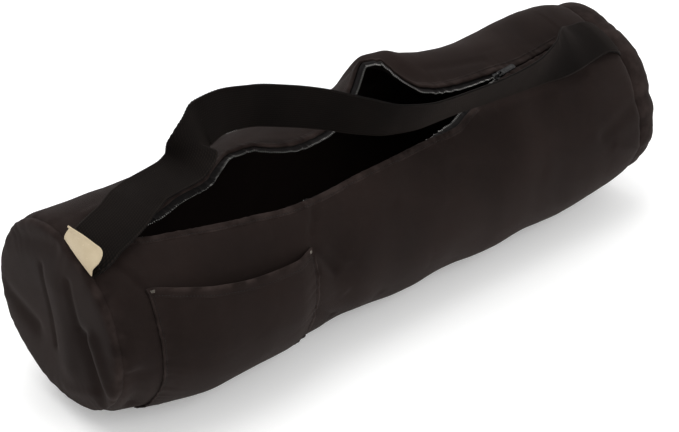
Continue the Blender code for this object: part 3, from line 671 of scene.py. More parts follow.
TURNED_SECTION = [  # in from the edge, and out from the cloth's outside, in mm
    (7.4, -0.5), (6.9, 0.35), (5.8, 0.55), (5.2, 0.25), (4.6, 0.55), (3.0, 0.75), (1.5, 0.72),
    (0.3, 0.35), (-0.4, -0.5), (-0.5, -1.1), (-0.3, -1.8), (0.5, -2.5), (2.5, -2.7), (5.0, -2.6),
    (7.2, -1.7),
]
TURNED_STATIONS = 420
shares = np.linspace(ZIP_START - 0.004, ZIP_END + 0.004, TURNED_STATIONS)
cover = 0.0021 * ease((shares - 0.690) / 0.07) + 0.0012 * ease((0.12 - shares) / 0.05)
rub = [0.5 if out > 0.3 or inset < 0.4 else 0.1 for inset, out in TURNED_SECTION]
for side in WAY:
    columns = []
    for inset, out in TURNED_SECTION:
        inset = inset / 1000 - cover * (inset < 4.8)
        inside = np.maximum(inset, 0.0)
        here, across, outward = edge_frame(shares, side, inside)
        columns.append(here + across * (inside - inset)[:, None] + outward * out / 1000)
    sweep("turned_edge_" + side, columns, canvas, "canvas", rub=rub, flip=side == "near")
print("turned edges: 7 mm wide")

# %% [markdown]
# ## End panels
# A round panel closes each end. The left one is slack and creased, the right one is pushed out.
# A panel is made of rings that shrink towards its middle. Behind its rim two more rings tuck
# into the bag, as a seam allowance does, so that the seam can't gape.

# %% Creases in the left panel: back and up at both ends, height, half width, as shares of the radius
CREASES = [
    (-0.62, 0.18, -0.88, -0.42, 0.060, 0.08),
    (-0.45, 0.10, -0.76, -0.52, -0.055, 0.10),
    (0.72, 0.62, -0.10, 0.90, -0.050, 0.09),
    (0.80, 0.00, 0.35, -0.15, -0.040, 0.10),
    (-0.10, 0.45, -0.20, -0.30, 0.030, 0.16),
    (0.10, -0.86, -0.55, -0.70, -0.090, 0.13),
    (-0.30, 0.62, -0.36, 0.18, -0.022, 0.045),
    (0.10, 0.60, 0.02, -0.20, -0.018, 0.040),
    (-0.55, -0.40, -0.10, -0.62, 0.022, 0.050),
]
RIGHT_CREASES = [
    (-0.86, 0.34, -0.48, 0.40, -0.030, 0.050),
    (-0.80, 0.22, -0.40, 0.20, 0.024, 0.060),
    (-0.88, 0.02, -0.50, 0.10, -0.022, 0.050),
    (-0.30, 0.86, -0.20, 0.45, -0.022, 0.055),
    (-0.70, -0.55, -0.35, -0.30, -0.020, 0.070),
]
PANELS = [
    ("end_panel_left", "end_cap_left", -1, 0.006, 0.0, CREASES),
    ("end_panel_right", "end_cap_right", 1, 0.036, 0.15, RIGHT_CREASES),
]
PANEL_RINGS, PANEL_ROUND, PANEL_GAP = 64, 200, 0.0009


def crease_height(back, up, table):
    """How far a table's creases together move a panel's cloth."""
    total = np.zeros(back.shape)
    for back_a, up_a, back_b, up_b, height, width in table:
        away = off_line(back - back_a, up - up_a, back_b - back_a, up_b - up_a)
        total += height * RADIUS * near_to(away, width)
    return total


# %% The two panels
TUCKS = [(0.955, 0.0065), (0.975, 0.0030)]  # share of the rim, and depth in the bag
for name, node, way, bulge, tilt, table in PANELS:
    spread = 1 - np.linspace(0.0, 1.0, PANEL_RINGS) ** 1.7
    spread[-1] = 0.004
    round_angle = np.linspace(0.0, 360.0, PANEL_ROUND)
    rim = bag_point(0.0 if way < 0 else 1.0, round_angle)
    middle = np.array([AXIS_X + way * (HALF + PANEL_GAP), AXIS_Y, AXIS_HEIGHT])
    points = middle + (rim - middle)[None] * spread[:, None, None]
    back, up = (points[..., 1] - AXIS_Y) / RADIUS, (points[..., 2] - AXIS_HEIGHT) / RADIUS
    rise = ((1 - spread**4) ** 0.25)[:, None]
    from_rim = (1 - spread)[:, None] * RADIUS
    arc = np.radians(round_angle)[None] * RADIUS
    fine = END_PUCKER * puckers(arc, END_PITCH, 1.0) * np.exp(-from_rim / 0.012) * ease(from_rim / 0.003)
    flat_place = np.stack([back, up, back * 0 + way], -1) * RADIUS
    fine = fine + 0.0013 * waves(flat_place, 0.130, 8) * rise
    swell = bulge * (1 + tilt * up) + crease_height(back, up, table) * rise + fine
    points[..., 0] = middle[0] + way * swell * rise
    tucked = [middle + (rim - middle) * scale - [way * depth, 0, 0] for scale, depth in TUCKS]
    points = np.concatenate([np.stack(tucked), points])
    rings = np.arange(len(points))[:, None]
    rub = 0.45 * np.exp(-((rings - 4.0) ** 2) / 30) + np.zeros(points.shape[:2])
    mesh = grid_mesh(name, points, points[..., 1:], True, flip=way > 0, rub=rub)
    maker = bmesh.new()
    maker.from_mesh(mesh)
    centre = Vector(points[-1, 0])
    inner = [e for e in maker.edges if e.is_boundary and (e.verts[0].co - centre).length < 0.002]
    bmesh.ops.edgeloop_fill(maker, edges=inner)
    maker.to_mesh(mesh)
    maker.free()
    thicken(new_piece(name, mesh, canvas, node), CLOTH)
    print(name, "stands out", round(abs(points[..., 0]).max() - HALF, 4))

# %% [markdown]
# ## The open pocket
# A patch of the same canvas is sewn on the front along three sides. Its top gapes, as that of a
# used pocket does. The patch follows the bag's shape, so it is made from the same rule as the
# bag with its own distance added, and it is drawn in at its seams.

# %% Pocket mouth: share along the pocket, angle of its edge, gape
POCKET_EDGE = [
    (0.00, 37.0, 0.00),
    (0.15, 32.0, 0.45),
    (0.35, 26.0, 0.95),
    (0.60, 22.0, 1.00),
    (0.85, 21.0, 0.55),
    (1.00, 23.0, 0.00),
]
POCKET_WIDE, POCKET_CLOTH = 0.177, 0.0014
POCKET_LEFT = 0.038 / LENGTH
POCKET_SWELL, POCKET_FOOT = 0.012, -62.0
POCKET_STAND = 0.0021  # from the bag's outside to the outside of the pocket's cloth


def pocket_depth(along):
    """From the mouth down to the foot, in metres."""
    return np.radians(read(POCKET_EDGE, 1, along) - POCKET_FOOT) * RADIUS


def pocket_point(along, down, out=0.0):
    """Places on the pocket, by a share along it and a share down from its mouth."""
    top, deep = read(POCKET_EDGE, 1, along), pocket_depth(along)
    gape = read(POCKET_EDGE, 2, along) * (1 - ease((down - 0.15) / 0.85)) * POCKET_SWELL
    from_side = np.minimum(along, 1 - along) * POCKET_WIDE
    from_foot = (1 - down) * deep
    seams = np.minimum(from_side, from_foot)
    place = np.stack([along * POCKET_WIDE, down * deep, along * 0], -1)
    pulled = puckers(down * deep, 0.012, 3.0) * np.exp(-from_side / 0.011)
    pulled = pulled + puckers(along * POCKET_WIDE, 0.013, 5.0) * np.exp(-from_foot / 0.010)
    loose = 0.0012 * ease(seams / 0.02) + 0.0009 * waves(place, 0.110, 12)
    sewn = 0.0004 * near_to(seams - 0.001, 0.0015) - 0.0006 * near_to(seams - 0.0035, 0.0012)
    stand = POCKET_STAND + gape + np.maximum(loose, -0.0006) + 0.0007 * pulled + sewn + out
    share = POCKET_LEFT + along * POCKET_WIDE / LENGTH
    return bag_point(share, top + (POCKET_FOOT - top) * down, stand)


# %% The pocket's cloth
POCKET_ALONG, POCKET_DOWN = 120, 110
steps = (np.linspace(0.0, 1.0, POCKET_ALONG), np.linspace(0.0, 1.0, POCKET_DOWN))
along, down = np.meshgrid(*steps, indexing="ij")
seams = np.minimum(np.minimum(along, 1 - along) * POCKET_WIDE, (1 - down) * 0.16)
mesh = grid_mesh("pocket_cloth", pocket_point(along, down), flip=True, rub=0.6 * np.exp(-seams / 0.004))
pocket_cloth = thicken(new_piece("pocket_cloth", mesh, canvas, "pocket_panel"), POCKET_CLOTH)

# %% [markdown]
# The pocket's mouth is finished with a turned hem, 9 mm deep, sewn down with one row of thread.

# %% Pocket hem: down from the mouth and out from the cloth, in mm
HEM_SECTION = [
    (9.4, -0.5), (8.9, 0.30), (7.9, 0.50), (7.3, 0.20), (6.7, 0.50), (4.0, 0.62), (1.2, 0.60),
    (0.2, 0.30), (-0.5, -0.6), (0.2, -1.7), (1.2, -2.0), (5.0, -2.0), (8.9, -1.9),
]
along = np.linspace(0.004, 0.996, 150)
columns = [pocket_point(along, down / 1000 / pocket_depth(along), out / 1000) for down, out in HEM_SECTION]
rub = [0.7 if down < 1.3 and out > -1.8 else 0.15 for down, out in HEM_SECTION]
sweep("pocket_hem", columns, canvas, "canvas", rub=rub, flip=True)
print("pocket:", round(POCKET_WIDE * 1000), "mm wide, hem 9 mm")

# %% [markdown]
# ## The strap
# The strap is 48 mm webbing. It is sewn into both end seams, lies along the bag, then stands on
# edge in a high arch over the left of the mouth and crosses down to the front of it. The table
# holds its middle line, how far it leans and how much it is cupped to the bag.

# %% Strap route: along, depth, height, lean in degrees, cup
STRAP_WIDTH, STRAP_THICK = 0.048, 0.0024
STRAP_ANGLE = 66.0
STRAP_ROUTE = [
    (-0.930, -0.37, 0.985, 160.0, 1.0),
    (-0.847, -0.28, 1.030, 164.0, 0.7),
    (-0.780, -0.16, 1.055, 169.0, 0.4),
    (-0.720, -0.07, 1.055, 174.0, 0.2),
    (-0.630, -0.03, 1.065, 173.0, 0.0),
    (-0.583, -0.01, 1.095, 164.0, 0.0),
    (-0.551, 0.02, 1.190, 131.0, 0.0),
    (-0.533, 0.06, 1.275, 114.0, 0.0),
    (-0.486, 0.14, 1.355, 104.0, 0.0),
    (-0.420, 0.15, 1.385, 92.0, 0.0),
    (-0.330, 0.09, 1.375, 82.0, 0.0),
    (-0.240, -0.06, 1.335, 81.0, 0.0),
    (-0.150, -0.23, 1.270, 78.0, 0.0),
    (-0.060, -0.45, 1.185, 70.0, 0.0),
    (0.025, -0.61, 1.115, 60.0, 0.0),
    (0.140, -0.70, 1.085, 55.0, 0.0),
    (0.270, -0.72, 1.085, 53.0, 0.0),
    (0.390, -0.74, 1.085, 55.0, 0.0),
    (0.520, -0.73, 1.085, 62.0, 0.0),
    (0.645, -0.67, 1.095, 82.0, 0.0),
    (0.750, -0.58, 1.090, 120.0, 0.1),
    (0.855, -0.46, 1.045, 150.0, 0.7),
    (0.915, -0.43, 1.035, 156.0, 1.0),
]


def sewn_row(inset, rise, from_left):
    """A row of the route where the strap lies sewn on the bag."""
    share = inset / LENGTH if from_left else 1 - inset / LENGTH
    x, y, z = bag_point(share, STRAP_ANGLE, 0.0016 + STRAP_THICK / 2 + rise)
    depth, height = (y - AXIS_Y) / RADIUS, (z - AXIS_HEIGHT) / RADIUS
    return ((x - AXIS_X) / HALF, depth, height, STRAP_ANGLE + 90.0, 1.0)


SEWN = [(-0.002, -0.0030), (0.004, 0.0), (0.009, 0.0012)]  # from the seam, and how far it rises
strap_rows = [sewn_row(inset, rise, True) for inset, rise in SEWN]
strap_rows += STRAP_ROUTE
strap_rows += [sewn_row(inset, rise, False) for inset, rise in SEWN[::-1]]


def strap_centre(along):
    y = read(strap_rows, 1, along) * RADIUS + AXIS_Y
    z = read(strap_rows, 2, along) * RADIUS + AXIS_HEIGHT
    return np.stack([along * HALF + AXIS_X, y, z], -1)


def strap_point(along, across, out):
    """Places in the strap: across from edge to edge (-1 to 1), and out from its middle."""
    run = unit(strap_centre(along + 0.006) - strap_centre(along - 0.006))
    lean = np.radians(read(strap_rows, 3, along))
    width = np.stack([lean * 0, -np.cos(lean), np.sin(lean)], -1)
    width = unit(width - run * (width * run).sum(-1, keepdims=True))
    face = np.cross(run, width)
    aside = across * STRAP_WIDTH / 2
    cup = read(strap_rows, 4, along) * aside**2 / (2 * RADIUS)
    return strap_centre(along) + width * aside[..., None] + face * (out - cup)[..., None]


# %% [markdown]
# Thick cords run along the webbing, and the weft binds them in turn, so each cord shows a row
# of bumps that lie like bricks against its neighbours'. At both edges the weft turns back and
# leaves small scallops. The grid has one point on every bump and one in every groove.

# %% The strap's webbing
CORDS, RIB_PITCH, RIB_HEIGHT, RIB_GROOVE = 20, 0.0025, 0.00080, 0.00055
SCALLOP, EDGE_INSET = 0.0007, 0.0006
fine_line = np.linspace(strap_rows[0][0], strap_rows[-1][0], 3001)
run_length = lengths_along(strap_centre(fine_line))
strap_length = run_length[-1]
strap_count = 2 * int(strap_length / RIB_PITCH) + 1
strap_run = np.linspace(0, strap_length, strap_count)
i, j = np.meshgrid(np.arange(strap_count), np.arange(2 * CORDS + 1), indexing="ij")
along = np.interp(strap_run, run_length, fine_line)[:, None] + 0.0 * j
edge = (j == 0) | (j == 2 * CORDS)
scallop = np.where(edge & (i % 2 == 0), SCALLOP, 0.0) / (STRAP_WIDTH / 2)
across = (j / CORDS - 1.0) * (1 + scallop)


def rib_relief(raised):
    """The height of the cords where they are raised, sunk between bumps, and in the grooves."""
    return np.where(j % 2 == 1, np.where(raised, RIB_HEIGHT, -0.3 * RIB_HEIGHT), -RIB_GROOVE)


faces = []
for way, raised in ((1, (i + j // 2) % 2 == 0), (-1, (i + j // 2) % 2 == 1)):
    bump = rib_relief(raised)
    out = STRAP_THICK / 2 - 0.0002 + np.where(edge, -EDGE_INSET, bump)
    crown = np.clip((bump + RIB_GROOVE) / (RIB_HEIGHT + RIB_GROOVE), 0.0, 1.0)
    faces.append([values[:, ::way] for values in (strap_point(along, across, way * out), crown)])
points, crown = (np.concatenate([over, under, over[:, :1]], 1) for over, under in zip(*faces))
strap_v = np.concatenate([across, 4 - across[:, ::-1], 6 + across[:, :1]], 1) * STRAP_WIDTH / 2
weave = np.stack([strap_run[:, None] + 0.0 * strap_v, strap_v], -1)
rub = 0.8 * np.concatenate([edge, edge, edge[:, :1]], 1)
mesh = grid_mesh("strap_webbing", points, weave, True, ends=True, rub=rub, crown=crown)
strap_webbing = new_piece("strap_webbing", mesh, webbing, "strap")
print(f"strap: {strap_length * 1000:.0f} mm long, {len(mesh.polygons)} faces")

# %% [markdown]
# ## The side label
# A scrap of natural canvas is sewn into the left end seam over the strap's end. It is left
# bare. It stands off the strap and curls a little, its lower right corner is round, and its
# edges are bound.

# %% Label
LABEL_LENGTH, LABEL_WIDTH, LABEL_THICK, LABEL_CORNER = 0.045, 0.019, 0.0010, 0.009
LABEL_LEAN = math.radians(64.0)  # how steeply it stands off the strap at its seam
LABEL_SEAM = 0.0005 / HALF - 1.0  # where along the bag the label starts
j, k = np.meshgrid(np.linspace(-1.0, 1.0, 61), np.linspace(0.0, 1.0, 31), indexing="ij")
from_end = (1 - np.abs(j)) * LABEL_LENGTH / 2
cut = np.where(j > 0, 0.0, np.maximum(0.0, 1 - from_end / LABEL_CORNER))
wide = LABEL_WIDTH - LABEL_CORNER * (1 - np.cos(np.arcsin(cut * math.sin(math.radians(72)))))
lean = LABEL_LEAN * (1.0 - 0.30 * k)
step = wide / 30
flat_run = (np.cumsum(np.cos(lean), 1) - math.cos(LABEL_LEAN)) * step
stand = (np.cumsum(np.sin(lean), 1) - math.sin(LABEL_LEAN)) * step
across = j * LABEL_LENGTH / STRAP_WIDTH
place = np.stack([LABEL_SEAM * HALF + wide * k, across * STRAP_WIDTH / 2, 0.0 * k], -1)
rim_near = np.minimum(from_end, (1 - k) * wide)
bound = 0.00025 * near_to(rim_near, 0.0011) - 0.00015 * near_to(rim_near - 0.0022, 0.0006)
curl = 0.0005 * waves(place, 0.03, 21) * k
out = STRAP_THICK / 2 + 0.0005 + LABEL_THICK + stand + curl + bound
mesh = grid_mesh("side_label", strap_point(LABEL_SEAM + flat_run / HALF, across, out))
label_piece = thicken(new_piece("side_label", mesh, label_cloth, "label"), LABEL_THICK)
print("label: 45 x 19 mm, bare")

# %% [markdown]
# ## Zip tapes
# Each tape is sewn under the cloth's edge and shows about 6 mm of itself. Where the mouth is
# open the tape turns down into the bag, so it is bent round a small radius at the edge.


# %% Where the tape runs
TAPE_SHOW, TAPE_HOLD, TAPE_CLOTH, TAPE_DEPTH = 0.0065, 0.0045, 0.0008, 0.0036
HANG = 1.4  # the weight of the teeth turns the tape down by this much more
TURN_REACH, TAPE_STEPS = 0.0022, 12
zip_shares = np.linspace(ZIP_START + ZIP_TACK, ZIP_END - ZIP_TACK, 500)


def tape_frame(share, side, reach):
    """Places on the tape's upper face this far past the cloth's edge, the way on and the way out."""
    edge, across, out = edge_frame(share, side)
    turn = np.radians(read(MOUTH, TURN[side], share)) * HANG

    def ways(distance):
        turned = (turn * ease(distance / TURN_REACH))[:, None]
        onward = across * np.cos(turned) - out * np.sin(turned)
        return onward, out * np.cos(turned) + across * np.sin(turned)

    place = edge - out * TAPE_DEPTH
    for step in range(TAPE_STEPS):
        place = place + ways((step + 0.5) / TAPE_STEPS * reach)[0] * (reach / TAPE_STEPS)[:, None]
    return place, *ways(reach)


def tape_show(share):
    """All of the tape where the mouth is open, and up to the middle where it is shut."""
    roots = [edge - out * TAPE_DEPTH for edge, _, out in (edge_frame(share, side) for side in WAY)]
    apart = np.linalg.norm(roots[0] - roots[1], axis=-1)
    return np.minimum(TAPE_SHOW, (apart - 0.0004) / 2)


# %% The two tapes
for side in WAY:
    show = tape_show(zip_shares)
    upper, lower = [], []
    for inset in (TAPE_HOLD, TAPE_HOLD / 2):
        here, _, out = edge_frame(zip_shares, side, inset)
        upper.append(here - out * TAPE_DEPTH)
        lower.append(here - out * (TAPE_DEPTH + TAPE_CLOTH))
    for reach in np.linspace(0.0, 1.0, 9):
        place, _, face = tape_frame(zip_shares, side, show * reach)
        upper.append(place)
        lower.append(place - face * TAPE_CLOTH)
    columns = upper + lower[::-1]
    sweep("tape_" + side, columns, tape_cloth, "webbing", "zip_tape_" + side, flip=side == "near")
print("tapes show", round(TAPE_SHOW * 1000, 1), "mm")

# %% [markdown]
# ## Zip teeth
# Each tooth is a small casting clamped on the tape's edge, with a head that reaches past it.
# The teeth of the two tapes are half a pitch apart, which is how they mesh where the zip is
# shut. They are counted from the shut end, so that they mesh there.


# %% One tooth, repeated
def bevelled_box(size, bevel):
    """Points and faces of a small box with rounded edges, round its own middle."""
    maker = bmesh.new()
    bmesh.ops.create_cube(maker, size=1.0)
    bmesh.ops.scale(maker, vec=size, verts=maker.verts)
    bmesh.ops.bevel(maker, geom=maker.edges[:], offset=bevel, segments=1, affect="EDGES")
    maker.verts.index_update()
    points = np.array([v.co for v in maker.verts])
    faces = [[v.index for v in f.verts] for f in maker.faces]
    maker.free()
    return points, faces


def copies(name, points, faces, places, axes):
    """One mesh with a copy of a small shape at each place, turned to its axes."""
    all_points = places[:, None] + np.einsum("pk,nki->npi", points, axes)
    count = len(points)
    all_faces = [[v + count * n for v in face] for n in range(len(places)) for face in faces]
    mesh = bpy.data.meshes.new(name)
    mesh.from_pydata(all_points.reshape(-1, 3).tolist(), [], all_faces)
    return mesh


TOOTH_PITCH, TOOTH_SIZE, TOOTH_BEVEL = 0.0022, (0.00095, 0.0021, 0.0015), 0.00030
TOOTH_HEAD = 0.0006  # how far a head reaches past the tape's edge
dense = np.linspace(ZIP_END - ZIP_TACK, ZIP_START + ZIP_TACK, 2401)
for side, start in (("near", 0.7), ("far", 1.2)):
    run = lengths_along(tape_frame(dense, side, tape_show(dense))[0])
    at = np.interp(np.arange(start * TOOTH_PITCH, run[-1] - 0.001, TOOTH_PITCH), run, dense)
    place, onward, face = tape_frame(at, side, tape_show(at))
    place = place - face * TAPE_CLOTH / 2 + onward * (TOOTH_HEAD - TOOTH_SIZE[1] / 2)
    axes = np.stack([unit(np.cross(onward, face)), onward, face], 1)
    mesh = copies("teeth_" + side, *bevelled_box(TOOTH_SIZE, TOOTH_BEVEL), place, axes)
    new_piece("teeth_" + side, mesh, shade_darkened_nickel, "zip_teeth_" + side, smooth=False)
    print("teeth on the", side, "tape:", len(place))

# %% [markdown]
# ## The slider
# Two plates hold the teeth between them. A wedge at the open end parts the two rows, and a
# bridge on the upper plate carries the pull. The plates are wide at the open end and narrower
# where the shut zip leaves them.

# %% The slider's own axes and heights
SLIDER_SHARE, SLIDER_REACH = 0.7566, 0.0147  # its place and its length along the bag, as shares
SLIDER_PLATE = 0.0013
pull_joint = frame["joints"][0]
axis_y = -Vector(pull_joint["axis"]).normalized()
beside = [
    sum(bag_point(share, edge_angle(share, side)) for side in WAY) / 2
    for share in (SLIDER_SHARE - SLIDER_REACH, SLIDER_SHARE + SLIDER_REACH)
]
axis_x = Vector(beside[1] - beside[0])
axis_x = (axis_x - axis_y * axis_x.dot(axis_y)).normalized()
slider_axes = Matrix((axis_x, axis_y, axis_x.cross(axis_y))).transposed().to_4x4()
slider_axes.translation = Vector(pull_joint["pos_m"])
into_slider = slider_axes.inverted()
heights = [(into_slider @ v.co).z for v in frame["nodes"]["zip_slider"].data.vertices]
SLIDER_LOW, SLIDER_TOP = min(heights), max(heights)
print(f"the slider reaches from {SLIDER_LOW * 1000:.2f} to {SLIDER_TOP * 1000:.2f} mm about its hinge")


# %% Flat plates with round outlines
def plate_mesh(name, outline, low, high, bevel, hole=None):
    """A plate between two heights, with an outline and maybe a hole, and rounded edges."""
    maker = bmesh.new()
    for loop in filter(None, (outline, hole)):
        points = [maker.verts.new((x, y, high)) for x, y in loop]
        for a, b in zip(points, points[1:] + points[:1]):
            maker.edges.new((a, b))
    bmesh.ops.triangle_fill(maker, use_beauty=True, edges=maker.edges[:])
    made = bmesh.ops.extrude_face_region(maker, geom=maker.faces[:])["geom"]
    for v in [g for g in made if isinstance(g, bmesh.types.BMVert)]:
        v.co.z = low
    bmesh.ops.recalc_face_normals(maker, faces=maker.faces)
    bmesh.ops.dissolve_limit(maker, angle_limit=0.01, verts=maker.verts, edges=maker.edges)
    sharp = [e for e in maker.edges if len(e.link_faces) == 2 and e.calc_face_angle() > 1.0]
    bmesh.ops.bevel(maker, geom=sharp, offset=bevel, segments=2, affect="EDGES")
    mesh = bpy.data.meshes.new(name)
    maker.to_mesh(mesh)
    maker.free()
    return mesh


def round_outline(length, width, corner, middle=0.0, steps=7):
    """A rectangle with round corners, its middle this far along."""
    loop = []
    for turn, (sx, sy) in enumerate(((1, 1), (-1, 1), (-1, -1), (1, -1))):
        for k in range(steps + 1):
            a = math.radians(90 * turn + 90 * k / steps)
            x = middle + sx * (length / 2 - corner) + corner * math.cos(a)
            loop.append((x, sy * (width / 2 - corner) + corner * math.sin(a)))
    return loop


def slider_outline():
    """Half width of the slider along its length, wide at the open end, narrow at the shut one."""
    rows = [(-5.0, 2.4), (-4.5, 3.6), (-3.2, 4.4), (-1.0, 4.3), (2.0, 3.6), (4.3, 3.1), (5.0, 2.2)]
    xs = np.linspace(-5.0, 5.0, 33)
    ys = read(rows, 1, xs)
    return [(x / 1000, y / 1000) for x, y in zip(xs, ys)] + [
        (x / 1000, -y / 1000) for x, y in zip(xs[::-1], ys[::-1])
    ]


def set_in_slider(piece):
    """Moves a mesh made about the hinge to its place, and keeps its corners crisp."""
    piece.data.transform(slider_axes)
    piece.data.update()
    piece.data.set_sharp_from_angle(angle=math.radians(35))


# %% The slider's plates, wedge and bridge
PLATE_TOP = -0.00132  # the upper plate's upper face, about the hinge
BRIDGE_FOOT, BRIDGE_WIDE, BRIDGE_THICK = 0.0032, 0.0008, 0.0005
wedge = round_outline(0.0016, 0.0008, 0.00035, -0.0042)
plates = [
    ("slider_upper_plate", slider_outline(), PLATE_TOP - SLIDER_PLATE, PLATE_TOP, 0.00035),
    ("slider_lower_plate", slider_outline(), SLIDER_LOW, SLIDER_LOW + SLIDER_PLATE, 0.00035),
    ("slider_wedge", wedge, SLIDER_LOW + 0.0006, PLATE_TOP - 0.0006, 0.0001),
]
for name, *plate in plates:
    set_in_slider(new_piece(name, plate_mesh(name, *plate), black_metal))
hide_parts("zip_slider")
turns = np.linspace(0.0, math.pi, 25)
bridge_height = SLIDER_TOP - BRIDGE_THICK - PLATE_TOP
arch_z = PLATE_TOP - 0.0002 + bridge_height * np.sin(turns) ** 0.7
arch = np.stack([BRIDGE_FOOT * np.cos(turns), 0 * turns, arch_z], -1)
run = unit(np.concatenate([arch[1:], arch[-1:]]) - np.concatenate([arch[:1], arch[:-1]]))
up = np.cross([0.0, 1.0, 0.0], run)
columns = [
    arch + np.array([0.0, BRIDGE_WIDE * math.cos(a), 0.0]) + up * BRIDGE_THICK * math.sin(a)
    for a in np.linspace(0, 2 * math.pi, 13)[:-1]
]
set_in_slider(sweep("slider_bridge", columns, black_metal, "metal", flip=True))

# %% [markdown]
# ## The pull
# The pull is a long tab with a slot that holds the bridge. It swings on the hinge, so it rides
# on its own body.

# %% Pull tab
PULL_LENGTH, PULL_WIDTH, PULL_THICK, PULL_ROD = 0.0260, 0.0062, 0.0013, 0.00065
SLOT_LENGTH = 0.0046
pull_outline = round_outline(PULL_LENGTH, PULL_WIDTH, 0.0022, PULL_LENGTH / 2 - PULL_ROD)
slot = round_outline(SLOT_LENGTH, PULL_WIDTH - 0.0026, 0.0012, PULL_ROD + SLOT_LENGTH / 2)
mesh = plate_mesh("pull_tab", pull_outline, -PULL_THICK / 2, PULL_THICK / 2, 0.0003, slot)
set_in_slider(new_piece("pull_tab", mesh, black_metal, "zip_pull", body="pull"))
print("pull:", PULL_LENGTH * 1000, "mm long")

# %% [markdown]
# ## Sewing
# A stitch is a short piece of thread that comes up through the cloth and goes down again. One
# stitch is made as a bent rod, thin at both ends, and copied along each seam at an even pitch.


# %% One stitch, and a seam of them
def stitch_shape(length, radius):
    """A rod that dips into the cloth at both ends."""
    points = []
    for place in np.linspace(-0.5, 0.5, 6):
        thin = radius * math.sqrt(max(0.12, 1 - (2 * place) ** 4))
        lift = radius * (1.1 - 2.4 * abs(2 * place) ** 3)
        for a in np.linspace(0, 2 * math.pi, 7)[:-1]:
            points.append((place * length, thin * math.cos(a), lift + thin * math.sin(a)))
    faces = [
        [6 * r + k, 6 * r + (k + 1) % 6, 6 * r + 6 + (k + 1) % 6, 6 * r + 6 + k]
        for r in range(5) for k in range(6)
    ]
    return np.array(points), faces + [list(range(5, -1, -1)), list(range(30, 36))]


def sew(name, line, out, surface=black_thread, pitch=0.0032, length=0.0025, radius=0.00026, slant=0.0):
    """A row of stitches along a line of points, each with its way out of the cloth."""
    run = lengths_along(line)
    at = np.arange(pitch * 0.6, run[-1] - pitch * 0.3, pitch)

    def between(values, places):
        return np.stack([np.interp(places, run, values[:, k]) for k in range(3)], 1)

    upward = unit(between(out, at))
    way = between(line, at + 0.001) - between(line, at - 0.001)
    way = unit(way - upward * (way * upward).sum(-1, keepdims=True))
    turn = math.radians(slant)
    way = way * math.cos(turn) + np.cross(upward, way) * math.sin(turn)
    axes = np.stack([way, np.cross(upward, way), upward], 1)
    mesh = copies(name, *stitch_shape(length, radius), between(line, at), axes)
    new_piece(name, mesh, surface)
    return len(at)


# %% [markdown]
# The mouth's edges are sewn along their whole length, the pocket along its three sides and its
# hem, and the strap across both ends. At the pocket's corners, where it is pulled most, short
# close stitches lock the seam. Their thread is dark, and its paler colour is painted highlight.

# %% All the seams
stitches = 0
shares = np.linspace(ZIP_START + 0.002, ZIP_END - 0.002, 1200)
for side in WAY:
    here, across, out = edge_frame(shares, side, 0.0052)
    stitches += sew("stitches_mouth_" + side, here + out * 0.00028, out)


def sew_pocket(name, along, down, out=0.0002, **how):
    """Sews a line on the pocket's outside, or this far out from it."""
    line = pocket_point(along, down, out)
    return sew(name, line, pocket_point(along, down, out + 0.001) - line, **how)


straight = np.linspace(0.0, 1.0, 500)
most = 0.02 + 0.96 * straight
for name, along, down in (
    ("left", 0 * most + 0.020, most),
    ("right", 0 * most + 0.980, most),
    ("foot", most, 0 * most + 0.978),
    ("hem", most, 0.0073 / pocket_depth(straight)),
):
    stitches += sew_pocket("stitches_pocket_" + name, along, down)
# The tacks use the paler thread, which is painted highlight on dark thread.
TACK = dict(surface=painted_highlight_thread, pitch=0.0007, length=0.0014, radius=0.00016, slant=78.0)
for name, middle in (("left", 0.026), ("right", 0.974)):
    for row in range(2):
        along = np.linspace(middle - 0.010, middle + 0.010, 60)
        down = 0 * along + 0.014 + 0.007 * row
        stitches += sew_pocket(f"tack_{name}_{row}", along, down, 0.0008, **TACK)
wide = np.linspace(-0.94, 0.94, 200)
for name, end, inset in (("left_1", 0, 0.0095), ("right_0", -1, -0.0065), ("right_1", -1, -0.0095)):
    at = 0 * wide + strap_rows[end][0] + inset / HALF
    line = strap_point(at, wide, STRAP_THICK / 2 + 0.0001)
    stitches += sew("stitches_strap_" + name, line, strap_point(at, wide, STRAP_THICK / 2 + 0.001) - line)
print(stitches, "stitches")

# %% [markdown]
# ## The body's sheet
# The body is one sheet of 680 by 660 mm with the mouth cut out of it.

# %% [markdown]
# ## Floor, light and camera
# The bag lies on a pale floor that glows faintly, under a large soft light from above. A weaker
# light stands in front, and a white room fills the shadows. The camera looks down on the bag's
# left front.


# %% Floor
FLOOR_GLOW = 0.24  # the floor is lit from below as well, as on a light table


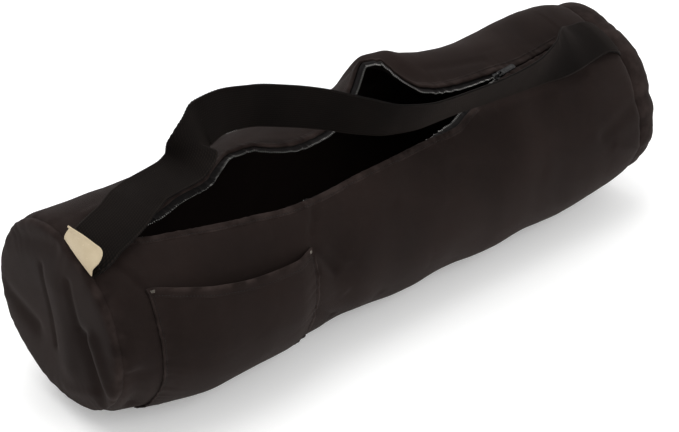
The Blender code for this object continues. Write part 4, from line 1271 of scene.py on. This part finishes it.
def make_floor():
    """A large pale floor with a faintly uneven tone."""
    maker = bmesh.new()
    bmesh.ops.create_grid(maker, x_segments=8, y_segments=8, size=6.0)
    mesh = bpy.data.meshes.new("floor")
    maker.to_mesh(mesh)
    maker.free()
    n = Nodes("floor_paint", (0.90, 0.90, 0.895), 0.75)
    n.set("Emission Color", (1.0, 1.0, 1.0, 1.0))
    n.set("Emission Strength", FLOOR_GLOW)
    n.set("Base Color", n.blend(n.noise(3.0), (0.895, 0.895, 0.89), (0.905, 0.905, 0.90)))
    mesh.materials.append(n.material)
    floor = bpy.data.objects.new("floor", mesh)
    bpy.context.scene.collection.objects.link(floor)
    floor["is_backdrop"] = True


make_floor()


# %% Lights
def add_light(name, place, target, size, power, colour=(1.0, 1.0, 1.0)):
    """A soft square light that points at a target."""
    light = bpy.data.lights.new(name, "AREA")
    light.size = size
    light.energy = power
    light.color = colour
    lamp = bpy.data.objects.new(name, light)
    lamp.location = place
    lamp.rotation_euler = (Vector(target) - Vector(place)).to_track_quat("-Z", "Y").to_euler()
    bpy.context.scene.collection.objects.link(lamp)


add_light("key_light", (-0.3, 0.7, 2.5), (0, 0, 0.1), 2.6, 44.0)
add_light("fill_light", (0.7, -2.2, 1.5), (0, 0, 0.1), 1.8, 24.0)
world = bpy.data.worlds.new("white_room")
world.use_nodes = True
world.node_tree.nodes["Background"].inputs["Color"].default_value = (1.0, 1.0, 1.0, 1.0)
world.node_tree.nodes["Background"].inputs["Strength"].default_value = 0.74
bpy.context.scene.world = world
bpy.context.scene.view_settings.view_transform = "Standard"

# %% Camera
PHOTO_WIDTH, FOCAL_PIXELS, SENSOR = 679, 1700, 36.0
back = Vector((-0.561, -0.656, 0.504)).normalized()
right = Vector((0, 0, 1)).cross(back).normalized()
up = back.cross(right)
camera_data = bpy.data.cameras.new("camera")
camera_data.sensor_width = SENSOR
camera_data.lens = FOCAL_PIXELS * SENSOR / PHOTO_WIDTH
camera_data.shift_x, camera_data.shift_y = -0.0110, -0.0286
camera_data.clip_start = 0.05
camera = bpy.data.objects.new("camera", camera_data)
view = Matrix((right, up, back)).transposed().to_4x4()
view.translation = Vector((AXIS_X, AXIS_Y, 0.10443)) + back * 1.734
camera.matrix_world = view
bpy.context.scene.collection.objects.link(camera)
bpy.context.scene.camera = camera

# %% [markdown]
# ## Measuring the result
# The sizes of the model it started from and of the dressed bag are printed side by side.

# %% Sizes before and after
dressed_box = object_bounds()
for name, box in (("model", cad_box), ("dressed", dressed_box)):
    print(name, [round(high - low, 4) for low, high in zip(*box)])
